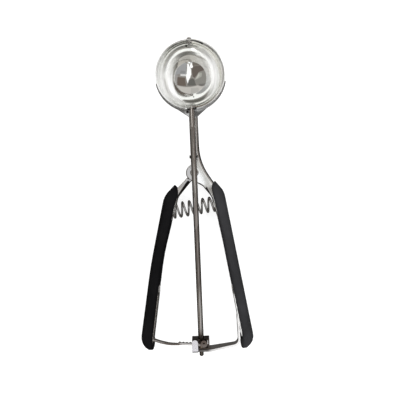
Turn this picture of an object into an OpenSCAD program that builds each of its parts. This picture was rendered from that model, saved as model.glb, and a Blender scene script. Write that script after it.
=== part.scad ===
// Lever ice cream scoop. All sizes are in millimetres.
// The mouth of the bowl lies on z = 0 around the origin, the bowl opens towards +Z,
// and the drive shaft runs along Y, down to the gear between the ends of the handles.

/* [Bowl] */
// Outer diameter of the bowl
bowl_d = 50; // [44:1:60]
// Thickness of the bowl's wall
bowl_wall = 0.8; // [0.6:0.1:1.0]
// Depth of the shaft's axis, and of the sphere's centre, below the rim
axis_depth = 2.6; // [2.5:0.1:4]
// Thickness of the cradle that carries the bowl
cradle_t = 1.0; // [0.8:0.1:1.4]
// Height of the cradle's band on the bowl
cradle_h = 8; // [6:0.5:10]
// Angle of the cradle's band to each side of the neck
cradle_angle = 80; // [50:1:84]

/* [Scraper] */
// Width of the scraper blade at its middle
blade_w = 8.4; // [6:0.2:10]
// Width of the blade's ends
blade_tab = 4.8; // [4:0.1:4.9]
// Thickness of the blade
blade_t = 0.7; // [0.5:0.1:1]
// Gap between the blade and the bowl
blade_gap = 0.3; // [0.2:0.05:0.5]
// Angle of the blade below the rim plane at rest, in degrees
blade_rest = 12; // [11:1:16]
// Diameter of the rivet that the blade turns on
pivot_d = 1.8; // [1.4:0.1:2.2]
// Diameter of the pivot rivet's outer head
pivot_head_d = 4.2; // [3:0.1:4.6]

/* [Shaft] */
// Diameter of the drive shaft
shaft_d = 4; // [3.6:0.1:4.4]
// Diameter of the journal at the shaft's lower end
journal_d = 3; // [2.4:0.1:3.3]
// Length of the journal's end that stands out below its bearing
journal_end = 4; // [2:0.5:6]
// Radial gap of a turning fit
running_gap = 0.05; // [0.03:0.01:0.09]
// Radial gap of a fixed fit
fixed_gap = 0.01; // [0.01:0.01:0.03]

/* [Frame] */
// Length of the neck, from the bowl to the hinge
neck_length = 44.8; // [40:0.5:60]
// Thickness of the pressed steel
steel_t = 1.0; // [0.8:0.1:1.3]
// Radius of the frame's ears round the hinge
ear_r = 6.2; // [5.6:0.1:7]
// Depth of the frame channel at the neck and the ears
ear_depth = 9.2; // [8.6:0.1:11]
// Depth of the handle channels
handle_depth = 14.8; // [14.2:0.1:18]
// Rise of the handles towards the front, for each millimetre of their length
handle_rise = 0.078; // [0.05:0.002:0.1]
// Sideways reach of the right handle's end
right_reach = 35.2; // [33:0.1:42]
// Sideways reach of the left handle's end
left_reach = 40.9; // [38:0.1:46]
// Width of the handle channels at their lower ends
channel_w = 7; // [6.5:0.1:8.5]

/* [Hinge] */
// Diameter of the hinge pin
hinge_pin_d = 3; // [2.4:0.1:3.6]
// Diameter of the hinge pin's heads
hinge_head_d = 6.2; // [5:0.1:7]
// Height of a rivet head
head_h = 1.2; // [0.8:0.1:1.5]
// Side gap between the lever and the frame's ears
ear_gap = 0.15; // [0.1:0.05:0.3]

/* [Grips] */
// Thickness of the grips outside the channels
grip_wall = 2.2; // [1.6:0.1:3]
// How far the grips reach past the edges of their channels
grip_cover = 0.4; // [0.2:0.1:1]
// Gap between a grip and its channel
grip_gap = 0.05; // [0.03:0.01:0.1]

/* [Gear] */
// Module of the teeth
tooth_module = 0.8; // [0.78:0.01:0.84]
// Teeth of the pinion
pinion_teeth = 10; // [9:1:11]
// Teeth that a full circle of the rack would have
rack_teeth = 303; // [290:1:320]
// Pressure angle of the teeth
pressure_angle = 28; // [26:1:30]
// Play between the teeth, measured along the pitch line
backlash = 0.16; // [0.1:0.02:0.24]
// Thickness of the rack's strip
rack_t = 1.2; // [1:0.1:1.5]
// Height of the rack's strip behind the teeth
rack_h = 1.9; // [1.5:0.1:2.4]
// Length of the pinion's toothed part
pinion_face = 3.2; // [3:0.1:4]
// Length of the pinion's plain collar
collar_h = 1.5; // [1.4:0.1:2.4]
// Thickness of the arm that carries the gear
arm_t = 1.4; // [1.1:0.1:1.8]

/* [Spring] */
// Outer diameter of the return spring
spring_d = 12; // [10:0.5:13]
// Diameter of the spring's wire
wire_d = 1.6; // [1.2:0.1:1.8]
// Pitch of the spring's open turns
spring_pitch = 5; // [4:0.25:6]

/* [Hidden] */

steel = "silver";
dark_steel = "gray";
grip_colour = [0.12, 0.12, 0.13];

$fn = 96;
far = 100;             // reach of the solids that only cut others
hole_over = 1;         // how far a cutting cylinder stands out of what it cuts
weld_gap = 0.02;       // gap between pieces that are welded together
free_gap = 0.3;        // gap between pieces that move past each other

// Levels across the object, all measured from the rim plane
axis_z = -axis_depth;
head_clear = 0.7;      // gap between the hinge pin's head and the shaft
spring_clear = 0.5;    // gap between the spring and the shaft
mid_z = axis_z - shaft_d / 2
    - max(head_clear + head_h + ear_depth / 2, spring_clear + spring_d / 2);

// Stations along the shaft
bowl_r = bowl_d / 2;
bowl_in_r = bowl_r - bowl_wall;
hinge_y = -(bowl_r + neck_length);
pinion_r = tooth_module * pinion_teeth / 2;
rack_r = tooth_module * rack_teeth / 2;
addendum = 0.77 * tooth_module;
dedendum = 1.06 * tooth_module;
rack_y = hinge_y - rack_r;
pinion_over = 0.3;     // how far the pinion's teeth reach past the rack's strip
pinion_top_y = rack_y + rack_t / 2 + pinion_over;
pinion_bottom_y = pinion_top_y - pinion_face - collar_h;
plate_t = 1.0;         // thickness of the gear bracket's plates
bracket_top_y = pinion_top_y + free_gap + plate_t;
bracket_bottom_y = pinion_bottom_y - free_gap - plate_t;
arm_end_y = bracket_bottom_y - arm_t / 2;

// ---------- Lines, strips and skins ----------

function unit(v) = v / norm(v);
function left_of(v) = [-v[1], v[0]];
function reversed(list) = [for (i = [len(list) - 1:-1:0]) list[i]];
function xy(p) = [p[0], p[1]];

// Points of the arc of radius p[2] that rounds the corner p between a and c
function corner_arc(a, p, c) =
    let (
        u = unit(xy(a) - xy(p)),
        v = unit(xy(c) - xy(p)),
        half = acos(max(-1, min(1, u * v))) / 2,
        centre = xy(p) + unit(u + v) * (p[2] / sin(half)),
        from = xy(p) + u * (p[2] / tan(half)) - centre,
        to = xy(p) + v * (p[2] / tan(half)) - centre,
        turn = atan2(from[0] * to[1] - from[1] * to[0], from * to),
        steps = max(2, ceil(abs(turn) / 5))
    )
    [for (i = [0:steps]) let (a = turn * i / steps)
        centre + [from[0] * cos(a) - from[1] * sin(a), from[0] * sin(a) + from[1] * cos(a)]];

// A line through corners [x, y, radius], with its corners rounded
function rounded_line(corners) =
    let (last = len(corners) - 1)
    [
        xy(corners[0]),
        for (i = [1:last - 1])
            each (corners[i][2] > 0
                ? corner_arc(corners[i - 1], corners[i], corners[i + 1])
                : [xy(corners[i])]),
        xy(corners[last])
    ];

// A line moved sideways by d, to the left of its own direction
function moved_line(line, d) =
    let (
        last = len(line) - 1,
        normals = [for (i = [0:last - 1]) left_of(unit(line[i + 1] - line[i]))]
    )
    [for (i = [0:last]) let (m = normals[max(0, i - 1)] + normals[min(last - 1, i)])
        line[i] + m * (2 * d / (m * m))];

// Distance of each point of a line from its start, along the line
function line_lengths(line) =
    [for (i = 0, s = 0; i < len(line); s = s + (i + 1 < len(line) ? norm(line[i + 1] - line[i]) : 0),
        i = i + 1) s];

// The point of a line at the fraction f of its length
function point_at(line, f) =
    let (
        s = line_lengths(line),
        d = f * s[len(s) - 1],
        i = max([for (j = [0:len(s) - 2]) if (s[j] <= d || j == 0) j])
    )
    line[i] + (line[i + 1] - line[i]) * ((d - s[i]) / (s[i + 1] - s[i]));

// A strip that lies between two shifts of one line
module strip(line, from, to) {
    polygon(concat(moved_line(line, from), reversed(moved_line(line, to))));
}

// A closed skin over rings of points, with flat ends
module skin(rings) {
    n = len(rings[0]);
    last = len(rings) - 1;
    sides = [for (i = [0:last - 1], j = [0:n - 1]) let (k = (j + 1) % n)
        each [[i * n + j, i * n + k, (i + 1) * n + j], [i * n + k, (i + 1) * n + k, (i + 1) * n + j]]];
    ends = [[for (j = [n - 1:-1:0]) j], [for (j = [0:n - 1]) last * n + j]];
    polyhedron([for (ring = rings) each ring], concat(sides, ends));
}

// Solids along the shaft's axis, from one y to another
module along_shaft(from, to) {
    translate([0, to, axis_z]) rotate([90, 0, 0]) linear_extrude(to - from) children();
}

module pin_along_shaft(from, to, d) {
    translate([0, to, axis_z]) rotate([90, 0, 0]) cylinder(h = to - from, d = d);
}

// A solid whose outline lies in the plane of the handles
module across(from, to) {
    translate([0, 0, from]) linear_extrude(to - from) children();
}

module sphere_at_axis(r) {
    translate([0, 0, axis_z]) sphere(r);
}

// ---------- Side profile that the frame, lever and grips share ----------

flare_start = 8.2;     // distance below the hinge where the channels start to widen
flare_end = 22.2;      // distance below the hinge where they are at full depth

function flare(y) = max(0, min(1, (hinge_y - flare_start - y) / (flare_end - flare_start)));
function profile_mid(y) = mid_z + max(0, hinge_y - flare_end - y) * handle_rise;
function profile_half(y, ear_half) = ear_half + flare(y) * (handle_depth / 2 - ear_half);

profile_stations = [far, hinge_y - flare_start, hinge_y - flare_end, rack_y - far];

// The profile as a solid along X, drawn in by inset on both faces
module side_profile(ear_half, inset) {
    front = [for (y = profile_stations) [y, profile_mid(y) + profile_half(y, ear_half) - inset]];
    back = [for (y = profile_stations) [y, profile_mid(y) - profile_half(y, ear_half) + inset]];
    translate([-far, 0, 0])
        rotate([90, 0, 90])
            linear_extrude(2 * far)
                polygon(concat(front, reversed(back)));
}

// ---------- Lines of the right handle and the frame ----------

neck_left = -2.3;      // left edge of the neck
neck_right = 4.0;      // right edge of the neck
neck_top_y = -bowl_r / 2;
handle_end_y = rack_y + 3.6;

right_bend = [19.3, hinge_y - 16.0];
right_middle_y = hinge_y - 49.7;
right_web = rounded_line([
    [neck_right, neck_top_y, 0],
    [neck_right + 0.3, hinge_y + 7.8, 40],
    [right_bend[0], right_bend[1], 15],
    [right_reach, handle_end_y, 0]
]);
right_edge = rounded_line([
    [right_bend[0] - 13.5, right_bend[1] + 6.2, 12],
    [right_bend[0] - 6.8, right_bend[1] - 2.4, 16],
    [(right_bend[0] + right_reach) / 2 - channel_w - 1.9, right_middle_y, 100],
    [right_reach - channel_w + 0.5, handle_end_y + 1.0, 0]
]);

// X of the right web, and the length of its slope for each millimetre of its fall
function right_web_x(y) =
    right_bend[0] + (right_reach - right_bend[0]) * (y - right_bend[1]) / (handle_end_y - right_bend[1]);

right_slope = sqrt(1 + pow((right_reach - right_bend[0]) / (right_bend[1] - handle_end_y), 2));

// ---------- Lines of the left handle and the lever ----------

left_end_y = rack_y + 2.8;
left_bend = [-20.6, hinge_y - 18.0];
left_middle = [(left_bend[0] - left_reach) / 2 - 1.5, hinge_y - 67.2];
left_web = rounded_line([
    [-3.6, hinge_y - 1.6, 0],
    [left_bend[0], left_bend[1], 18],
    [left_middle[0], left_middle[1], 300],
    [-left_reach + 0.2, left_end_y + 1.0, 0]
]);
left_edge = rounded_line([
    [-1.4, hinge_y - 4.4, 0],
    [left_bend[0] + 7.8, left_bend[1] + 0.6, 10],
    [left_middle[0] + channel_w + 0.6, left_middle[1] + 7.0, 150],
    [-left_reach + channel_w, left_end_y - 0.3, 0]
]);

// X of the left web above its middle, and the length of its slope for each millimetre
function left_web_x(y) =
    left_bend[0] + (left_middle[0] - left_bend[0]) * (y - left_bend[1]) / (left_middle[1] - left_bend[1]);

left_slope = sqrt(1 + pow((left_middle[0] - left_bend[0]) / (left_middle[1] - left_bend[1]), 2));

// ---------- Frame: bowl and its cradle ----------

notch_gap = 0.4;       // gap round the shaft where it enters the bowl

module bowl() {
    color(steel) difference() {
        union() {
            difference() {
                sphere_at_axis(bowl_r);
                translate([-far, -far, axis_z]) cube(2 * far);
            }
            translate([0, 0, axis_z]) cylinder(h = axis_depth, r = bowl_r);
        }
        sphere_at_axis(bowl_in_r);
        translate([0, 0, axis_z]) cylinder(h = axis_depth + hole_over, r = bowl_in_r);
        pin_along_shaft(-bowl_r - hole_over, -bowl_in_r / 2, shaft_d + 2 * notch_gap);
        translate([-shaft_d / 2 - notch_gap, -bowl_r - hole_over, axis_z])
            cube([shaft_d + 2 * notch_gap, bowl_r / 2, axis_depth + hole_over]);
        pin_along_shaft(bowl_in_r / 2, bowl_r + hole_over, pivot_d + 2 * fixed_gap);
    }
}

cradle_in_r = bowl_r + weld_gap;
cradle_out_r = cradle_in_r + cradle_t;
gusset_top_z = mid_z + ear_depth / 2 + cradle_t + weld_gap;
gusset_y = -(bowl_r + 4.6);    // lower end of the gusset on the neck
gusset_half = 12;              // half of the gusset's width at the bowl
gusset_over = 2.6;             // how far the gusset reaches under the bowl at its corners
gusset_margin = 0.4;           // distance of its lower corners from the neck's edges

// The band's outline from the front: full height in the middle, drawn up to points at its ends
module cradle_face() {
    end_x = cradle_out_r * sin(cradle_angle);
    translate([0, far, gusset_top_z]) rotate([90, 0, 0]) linear_extrude(2 * far)
        polygon([
            [end_x, 0],
            [end_x, -cradle_t],
            [end_x / 2, -cradle_h],
            [-end_x / 2, -cradle_h],
            [-end_x, -cradle_t],
            [-end_x, 0]
        ]);
}

module bowl_cradle() {
    color(dark_steel) {
        // Band that is welded round the lower wall of the bowl
        difference() {
            intersection() {
                sphere_at_axis(cradle_out_r);
                translate([-far, -far, gusset_top_z - cradle_h]) cube([2 * far, far, cradle_h]);
                across(-far, far) polygon(concat(
                    [[0, 0]],
                    [for (i = [-2:2]) let (a = cradle_angle * i / 2) 2 * far * [sin(a), -cos(a)]]
                ));
                cradle_face();
            }
            sphere_at_axis(cradle_in_r);
        }
        // Gusset that ties the band to the front of the neck
        difference() {
            across(gusset_top_z - cradle_t, gusset_top_z)
                polygon([
                    [-gusset_half, -bowl_r + gusset_over],
                    [neck_left + gusset_margin, gusset_y],
                    [neck_right - gusset_margin, gusset_y],
                    [gusset_half, -bowl_r + gusset_over]
                ]);
            sphere_at_axis(cradle_in_r);
        }
    }
}

inner_head_d = pivot_d + 1.2;
inner_head_h = 0.7;
inner_head_play = 0.2;         // gap between the blade's end and the pivot's inner head
pivot_head_h = 2.1;

module blade_pivot() {
    inner_head_y = bowl_in_r - blade_gap - blade_t - inner_head_play;
    color(steel) {
        pin_along_shaft(inner_head_y - inner_head_h, bowl_r, pivot_d);
        pin_along_shaft(inner_head_y - inner_head_h, inner_head_y, inner_head_d);
        pin_along_shaft(bowl_r, bowl_r + pivot_head_h, pivot_head_d);
    }
}

// ---------- Frame: neck, ears and right handle ----------

module hinge_cylinder(from, to, d) {
    translate([0, hinge_y, from]) cylinder(h = to - from, d = d);
}

module frame_channel() {
    color(steel) difference() {
        intersection() {
            union() {
                across(-far, far) polygon(concat(
                    right_web,
                    reversed(right_edge),
                    [[0, hinge_y - ear_r], [neck_left, hinge_y], [neck_left, neck_top_y]]
                ));
                hinge_cylinder(-far, far, 2 * ear_r);
            }
            side_profile(ear_depth / 2, 0);
        }
        intersection() {
            across(-far, far) polygon(concat(
                moved_line(right_web, -steel_t),
                [[-far, rack_y - far], [-far, neck_top_y + far], [0, neck_top_y + far]]
            ));
            side_profile(ear_depth / 2, steel_t);
        }
        sphere_at_axis(cradle_out_r + weld_gap);
        hinge_cylinder(-far, far, hinge_pin_d + 2 * fixed_gap);
        arm_rivet_holes();
    }
}

guide_y = hinge_y + 11.2;
guide_length = 1.8;
guide_wall = 1.0;
guide_over = 0.8;      // how far the guide's cheeks reach past the shaft's axis
guide_base_z = mid_z + ear_depth / 2 + weld_gap;

module shaft_guide() {
    guide_half = shaft_d / 2 + running_gap + guide_wall;
    color(dark_steel) difference() {
        translate([-guide_half, guide_y - guide_length / 2, guide_base_z])
            cube([2 * guide_half, guide_length, axis_z + guide_over - guide_base_z]);
        pin_along_shaft(guide_y - guide_length, guide_y + guide_length, shaft_d + 2 * running_gap);
        translate([-shaft_d / 2 - running_gap, guide_y - guide_length, axis_z])
            cube([shaft_d + 2 * running_gap, 2 * guide_length, shaft_d]);
    }
}

// ---------- Hinge ----------

lever_ear_half = ear_depth / 2 - steel_t - ear_gap;
lever_ear_r = ear_r - 0.8;
sleeve_wall = 0.8;

module hinge_pin() {
    color(steel) {
        hinge_cylinder(mid_z - ear_depth / 2 - head_h, mid_z + ear_depth / 2 + head_h, hinge_pin_d);
        hinge_cylinder(mid_z + ear_depth / 2, mid_z + ear_depth / 2 + head_h, hinge_head_d);
        hinge_cylinder(mid_z - ear_depth / 2 - head_h, mid_z - ear_depth / 2, hinge_head_d);
    }
}

module hinge_sleeve() {
    sleeve_half = lever_ear_half - steel_t - ear_gap;
    color(dark_steel) difference() {
        hinge_cylinder(mid_z - sleeve_half, mid_z + sleeve_half, hinge_pin_d + 2 * sleeve_wall);
        hinge_cylinder(-far, far, hinge_pin_d + 2 * fixed_gap);
    }
}

// ---------- Lever: left handle ----------

module lever_channel() {
    color(steel) difference() {
        intersection() {
            union() {
                across(-far, far) polygon(concat(left_web, reversed(left_edge)));
                hinge_cylinder(-far, far, 2 * lever_ear_r);
            }
            side_profile(lever_ear_half, 0);
        }
        intersection() {
            across(-far, far) polygon(concat(
                [[0, 0], [left_web[0][0] + far, 0]],
                [[far, rack_y - far]],
                [[-left_reach, rack_y - far]],
                reversed(moved_line(left_web, steel_t)),
                [left_web[0] + [-far / 4, far / 4]]
            ));
            side_profile(lever_ear_half, steel_t);
        }
        hinge_cylinder(-far, far, hinge_pin_d + 2 * running_gap);
        rack_rivet_holes();
    }
}

// ---------- Grips ----------

grip_stations = 44;    // rings along a grip
grip_facets = 28;      // points round a grip
grip_squareness = 0.62;
grip_top_round = 3;    // length over which a grip's upper end is rounded
grip_top_size = 0.7;   // share of its depth that is left at the cut upper end
grip_foot_round = 5;   // length over which its lower end is rounded
grip_foot_cut = 0.5;   // length of the point that is cut off that end

function signed_power(v, p) = sign(v) * pow(abs(v), p);
function round_off(s, r) = let (t = min(1, s / r)) sqrt(1 - pow(1 - t, 2));

// Share of a grip's full depth at the distance s from its upper end
function grip_size(s, length) =
    (grip_top_size + (1 - grip_top_size) * round_off(s, grip_top_round))
    * round_off(length - s + grip_foot_cut, grip_foot_round);

// One ring between the outer and the inner edge of a grip, at the fraction f of its length
function grip_ring(outer, inner, ear_half, f) =
    let (
        a = point_at(outer, f),
        b = point_at(inner, f),
        lengths = line_lengths(outer),
        length = lengths[len(lengths) - 1],
        size = grip_size(f * length, length)
    )
    [for (i = [0:grip_facets - 1])
        let (
            angle = 360 * (i + 0.5) / grip_facets,
            p = (a + b) / 2 + (a - b) / 2 * signed_power(cos(angle), grip_squareness),
            depth = profile_half(p[1], ear_half) + grip_wall
        )
        [p[0], p[1], profile_mid(p[1]) + depth * size * signed_power(sin(angle), grip_squareness)]];

// A grip: side is 1 on the right handle and -1 on the left
module grip(outer, inner, web, side, ear_half) {
    rings = [for (i = [0:grip_stations]) grip_ring(outer, inner, ear_half, i / grip_stations)];
    last = len(web) - 1;
    inward = -side * left_of(unit(web[last] - web[last - 1])) * 2 * channel_w;
    color(grip_colour) difference() {
        skin(side > 0 ? rings : [for (ring = rings) reversed(ring)]);
        intersection() {
            across(-far, far)
                polygon(concat(moved_line(web, side * grip_gap), [web[last] + inward, web[0] + inward]));
            side_profile(ear_half, -grip_gap);
        }
    }
}

// The part of a line from its first point below the level y
function line_below(line, y) =
    let (i = min([for (j = [1:len(line) - 1]) if (line[j][1] < y) j]))
    concat(
        [line[i - 1] + (line[i] - line[i - 1]) * ((y - line[i - 1][1]) / (line[i][1] - line[i - 1][1]))],
        [for (j = [i:len(line) - 1]) line[j]]
    );

grip_end_gap = 0.3;    // gap between a channel's end and the closed end of its grip

// A line with its last stretch made longer
function longer(line, d) =
    let (n = len(line) - 1)
    concat([for (i = [0:n - 1]) line[i]], [line[n] + unit(line[n] - line[n - 1]) * d]);

right_grip_outer = rounded_line([
    [right_bend[0] - 6.7 + grip_wall, right_bend[1] + 9.8, 0],
    [right_bend[0] - 0.2 + grip_wall, right_bend[1] + 1.8, 12],
    [right_reach + 0.6 + grip_wall, handle_end_y - 3.1, 7],
    [right_reach - 5.0, handle_end_y - 8.8, 0]
]);
right_grip_inner = rounded_line([
    [right_bend[0] - 8.1, right_bend[1] + 6.2, 0],
    [right_bend[0] - 6.9 - grip_cover, right_bend[1] - 1.8, 12],
    [(right_bend[0] + right_reach) / 2 - channel_w - 2.0 - grip_cover, right_middle_y, 100],
    [right_reach - channel_w + 0.4 - grip_cover, handle_end_y + 1.8, 12],
    [right_reach - channel_w + 0.6 - grip_cover, handle_end_y - 8.2, 0]
]);

module right_grip() {
    grip(right_grip_outer, right_grip_inner, longer(right_web, grip_end_gap), 1, ear_depth / 2);
}

left_grip_outer = rounded_line([
    [left_bend[0] + 8.1 - grip_wall, left_bend[1] + 10.1, 0],
    [left_bend[0] - 0.2 - grip_wall, left_bend[1] + 1.8, 14],
    [left_middle[0] + 0.2 - grip_wall, left_middle[1] + 1.5, 300],
    [-left_reach - 0.1 - grip_wall, left_end_y - 1.8, 8],
    [-left_reach + 6.1, left_end_y - 6.7, 0]
]);
left_grip_inner = rounded_line([
    [left_bend[0] + 9.0, left_bend[1] + 6.2, 0],
    [left_bend[0] + 8.0 + grip_cover, left_bend[1] + 0.2, 10],
    [left_middle[0] + channel_w + 0.6 + grip_cover, left_middle[1] + 7.0, 150],
    [-left_reach + channel_w + grip_cover, left_end_y - 1.2, 12],
    [-left_reach + channel_w + grip_cover - 0.2, left_end_y - 6.3, 0]
]);

module left_grip() {
    grip(left_grip_outer, left_grip_inner, longer(left_web, grip_end_gap), -1, lever_ear_half);
}

// ---------- Return spring and its seats ----------

spring_left_y = hinge_y - 27.8;
spring_right_y = hinge_y - 22.9;
spring_left = [left_web_x(spring_left_y) + steel_t * left_slope, spring_left_y, mid_z];
spring_right = [right_web_x(spring_right_y) - steel_t * right_slope, spring_right_y, mid_z];
spring_axis = unit(spring_right - spring_left);
seat_d = spring_d - 0.6;
seat_h = 3.6;          // height of a seat's shoulder above the channel's web
seat_peg_h = 3;        // height of the peg inside the spring
peg_gap = 0.3;         // gap between the peg and the spring
spring_mean_r = (spring_d - wire_d) / 2;
spring_length = norm(spring_right - spring_left) - 2 * seat_h;
spring_tilt = atan2(spring_axis[1], spring_axis[0]);

module on_spring_axis(from, to, d) {
    translate(spring_left) rotate([0, 0, spring_tilt]) rotate([0, 90, 0])
        translate([0, 0, from]) cylinder(h = to - from, d = d);
}

module left_spring_seat() {
    color(steel) difference() {
        union() {
            on_spring_axis(-seat_h, seat_h - weld_gap, seat_d);
            on_spring_axis(0, seat_h + seat_peg_h, spring_d - 2 * (wire_d + peg_gap));
        }
        across(-far, far) polygon(concat(
            moved_line(left_web, steel_t + weld_gap),
            [[-far, rack_y], [-far, hinge_y]]
        ));
    }
}

module right_spring_seat() {
    reach = norm(spring_right - spring_left);
    color(steel) difference() {
        union() {
            on_spring_axis(reach - seat_h + weld_gap, reach + seat_h, seat_d);
            on_spring_axis(reach - seat_h - seat_peg_h, reach, spring_d - 2 * (wire_d + peg_gap));
        }
        across(-far, far) polygon(concat(
            moved_line(right_web, -steel_t - weld_gap),
            [[far, rack_y], [far, hinge_y]]
        ));
    }
}

closed_turns = 1;      // closed turns at each end of the spring
closed_pitch = wire_d * 1.05;
steps_per_turn = 18;
wire_facets = 8;
open_turns = (spring_length - 2 * closed_turns * closed_pitch - wire_d) / spring_pitch;
spring_turns = open_turns + 2 * closed_turns;
spring_phase = 233;

// Distance of the wire's centre from the left seat after a number of turns
function spring_advance(t) =
    wire_d / 2
    + min(t, closed_turns) * closed_pitch
    + max(0, min(t - closed_turns, open_turns)) * spring_pitch
    + max(0, t - closed_turns - open_turns) * closed_pitch;

function spring_point(t) =
    let (a = spring_phase + 360 * t, d = seat_h + spring_advance(t))
    spring_left + spring_axis * d
        + [-spring_axis[1], spring_axis[0], 0] * (spring_mean_r * cos(a))
        + [0, 0, spring_mean_r * sin(a)];

module return_spring() {
    steps = ceil(spring_turns * steps_per_turn);
    rings = [for (i = [0:steps])
        let (
            t = spring_turns * i / steps,
            p = spring_point(t),
            along = unit(spring_point(t + 0.01) - spring_point(t - 0.01)),
            centre = spring_left + spring_axis * ((p - spring_left) * spring_axis),
            out = unit(p - centre),
            side = unit(cross(along, out)),
            outward = cross(side, along)
        )
        [for (j = [0:wire_facets - 1]) let (a = 360 * j / wire_facets)
            p + (outward * cos(a) + side * sin(a)) * wire_d / 2]];
    color(steel) skin(rings);
}

// ---------- Gear: pinion, bracket and arm ----------

function involute(a) = tan(a) * 180 / PI - a;

base_r = pinion_r * cos(pressure_angle);
tip_r = pinion_r + addendum;
root_r = pinion_r - dedendum;
tooth_half_pitch = (PI * tooth_module / 2 - backlash / 2) / 2;
flank_steps = 5;

function tooth_half_angle(r) =
    tooth_half_pitch / pinion_r * 180 / PI + involute(pressure_angle)
    - (r > base_r ? involute(acos(base_r / r)) : 0);

flank = concat(
    [[root_r, tooth_half_angle(base_r)]],
    [for (i = [0:flank_steps]) let (r = base_r + (tip_r - base_r) * i / flank_steps)
        [r, tooth_half_angle(r)]]
);

function pinion_outline() =
    [for (k = [0:pinion_teeth - 1]) let (mid = 90 + 360 * (k + 0.5) / pinion_teeth)
        each concat(
            [for (f = flank) f[0] * [cos(mid - f[1]), sin(mid - f[1])]],
            [for (f = reversed(flank)) f[0] * [cos(mid + f[1]), sin(mid + f[1])]]
        )];

pinion_pin_d = 1.0;
pin_y = pinion_bottom_y + collar_h / 2;

module pinion_pin_solid(d) {
    translate([0, pin_y, axis_z - root_r]) cylinder(h = 2 * root_r, d = d);
}

module pinion() {
    color(dark_steel) difference() {
        union() {
            along_shaft(pinion_top_y - pinion_face, pinion_top_y) polygon(pinion_outline());
            pin_along_shaft(pinion_bottom_y, pinion_top_y - pinion_face, 2 * root_r);
        }
        pin_along_shaft(pinion_bottom_y - hole_over, pinion_top_y + hole_over, shaft_d + 2 * fixed_gap);
        pinion_pin_solid(pinion_pin_d + 2 * fixed_gap);
    }
}

module pinion_pin() {
    color(steel) pinion_pin_solid(pinion_pin_d);
}

bracket_wall_x = tip_r + free_gap;
bracket_right = bracket_wall_x + plate_t;
bracket_left = -6.4;
bracket_back_z = axis_z - tip_r - 0.4;
rack_pitch_z = axis_z + pinion_r;
rack_tip_z = rack_pitch_z - addendum;
rack_root_z = rack_pitch_z + dedendum;
rack_front_z = rack_root_z + rack_h;
bracket_front_z = rack_tip_z - 0.5;
lug_z = rack_front_z + free_gap;
lug_t = 1.2;
lug_w = 4.2;
lug_top_y = bracket_top_y + 1.3;

module gear_bracket() {
    depth = bracket_front_z - bracket_back_z;
    color(steel) difference() {
        union() {
            translate([bracket_left, bracket_top_y - plate_t, bracket_back_z])
                cube([bracket_right - bracket_left, plate_t, depth]);
            translate([bracket_wall_x, bracket_bottom_y, bracket_back_z])
                cube([plate_t, bracket_top_y - bracket_bottom_y, depth]);
            translate([bracket_left, bracket_bottom_y, bracket_back_z])
                cube([bracket_right - bracket_left, plate_t, depth]);
            translate([bracket_left, bracket_bottom_y, bracket_back_z])
                cube([lug_w, plate_t, lug_z + lug_t - bracket_back_z]);
            translate([bracket_left, bracket_bottom_y, lug_z])
                cube([lug_w, lug_top_y - lug_w / 2 - bracket_bottom_y, lug_t]);
            translate([bracket_left + lug_w / 2, lug_top_y - lug_w / 2, lug_z])
                cylinder(h = lug_t, d = lug_w);
        }
        pin_along_shaft(bracket_top_y - plate_t - hole_over, bracket_top_y + hole_over,
            shaft_d + 2 * running_gap);
        pin_along_shaft(bracket_bottom_y - hole_over, bracket_bottom_y + plate_t + hole_over,
            journal_d + 2 * running_gap);
    }
}

arm_back_z = axis_z - 5.6;
arm_back_end_z = axis_z - 2.4; // where the arm has narrowed, at the handle
arm_front_z = axis_z + 3.6;
arm_left = -3.8;
arm_straight = 1.2;    // length of the arm's straight part past the gear bracket
arm_foot_x = right_reach - 7.9;
foot_inset = (steel_t + weld_gap + arm_t / 2) * right_slope;
foot_low_y = rack_y + 31.5;
foot_high_y = rack_y + 44;

arm_line = rounded_line([
    [arm_left, arm_end_y, 0],
    [bracket_right + arm_straight, arm_end_y, 8],
    [arm_foot_x, arm_end_y + 3.6, 4.5],
    [arm_foot_x - 0.4, rack_y + 17, 10],
    [right_web_x(foot_low_y) - foot_inset, foot_low_y, 8],
    [right_web_x(foot_high_y) - foot_inset, foot_high_y, 0]
]);

rivet_d = 2.4;
rivet_head_d = 3.8;
rivet_head_h = 0.8;
rivet_places = [2.8, 8.2];     // distances of an arm's rivets from the upper end of its foot
rivet_rise = 1.5;              // how far the rivets lie in front of the channel's middle

// Places of two rivets along the inside of a web, from the foot's upper end
module at_web_rivets(x_high, y_high, x_low, y_low, inward) {
    direction = unit([x_low - x_high, y_low - y_high]);
    turn = atan2(direction[1], direction[0]) + 90;
    for (d = rivet_places)
        translate([x_high + direction[0] * d, y_high + direction[1] * d, profile_mid(y_high) + rivet_rise])
            rotate([0, 0, turn])
                rotate([0, -90 * inward, 0])
                    children();
}

module at_arm_rivets() {
    at_web_rivets(right_web_x(foot_high_y), foot_high_y, right_web_x(foot_low_y), foot_low_y, 1)
        children();
}

module arm_rivet_holes() {
    at_arm_rivets() translate([0, 0, -hole_over])
        cylinder(h = steel_t + arm_t + 3 * hole_over, d = rivet_d + 2 * fixed_gap);
}

module bearing_arm() {
    color(steel) difference() {
        intersection() {
            across(arm_back_z, arm_front_z) strip(arm_line, -arm_t / 2, arm_t / 2);
            side_profile(ear_depth / 2, steel_t + weld_gap);
            rotate([90, 0, 0]) linear_extrude(3 * far) polygon([
                [arm_left - hole_over, arm_back_z],
                [bracket_right + arm_straight, arm_back_z],
                [arm_foot_x, arm_back_end_z],
                [far, arm_back_end_z],
                [far, far],
                [arm_left - hole_over, far]
            ]);
        }
        pin_along_shaft(arm_end_y - arm_t, arm_end_y + arm_t, journal_d + 2 * running_gap);
        arm_rivet_holes();
    }
}

module web_rivet(grip) {
    translate([0, 0, fixed_gap]) cylinder(h = grip - fixed_gap + rivet_head_h, d = rivet_d);
    translate([0, 0, grip]) cylinder(h = rivet_head_h, d = rivet_head_d);
}

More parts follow.
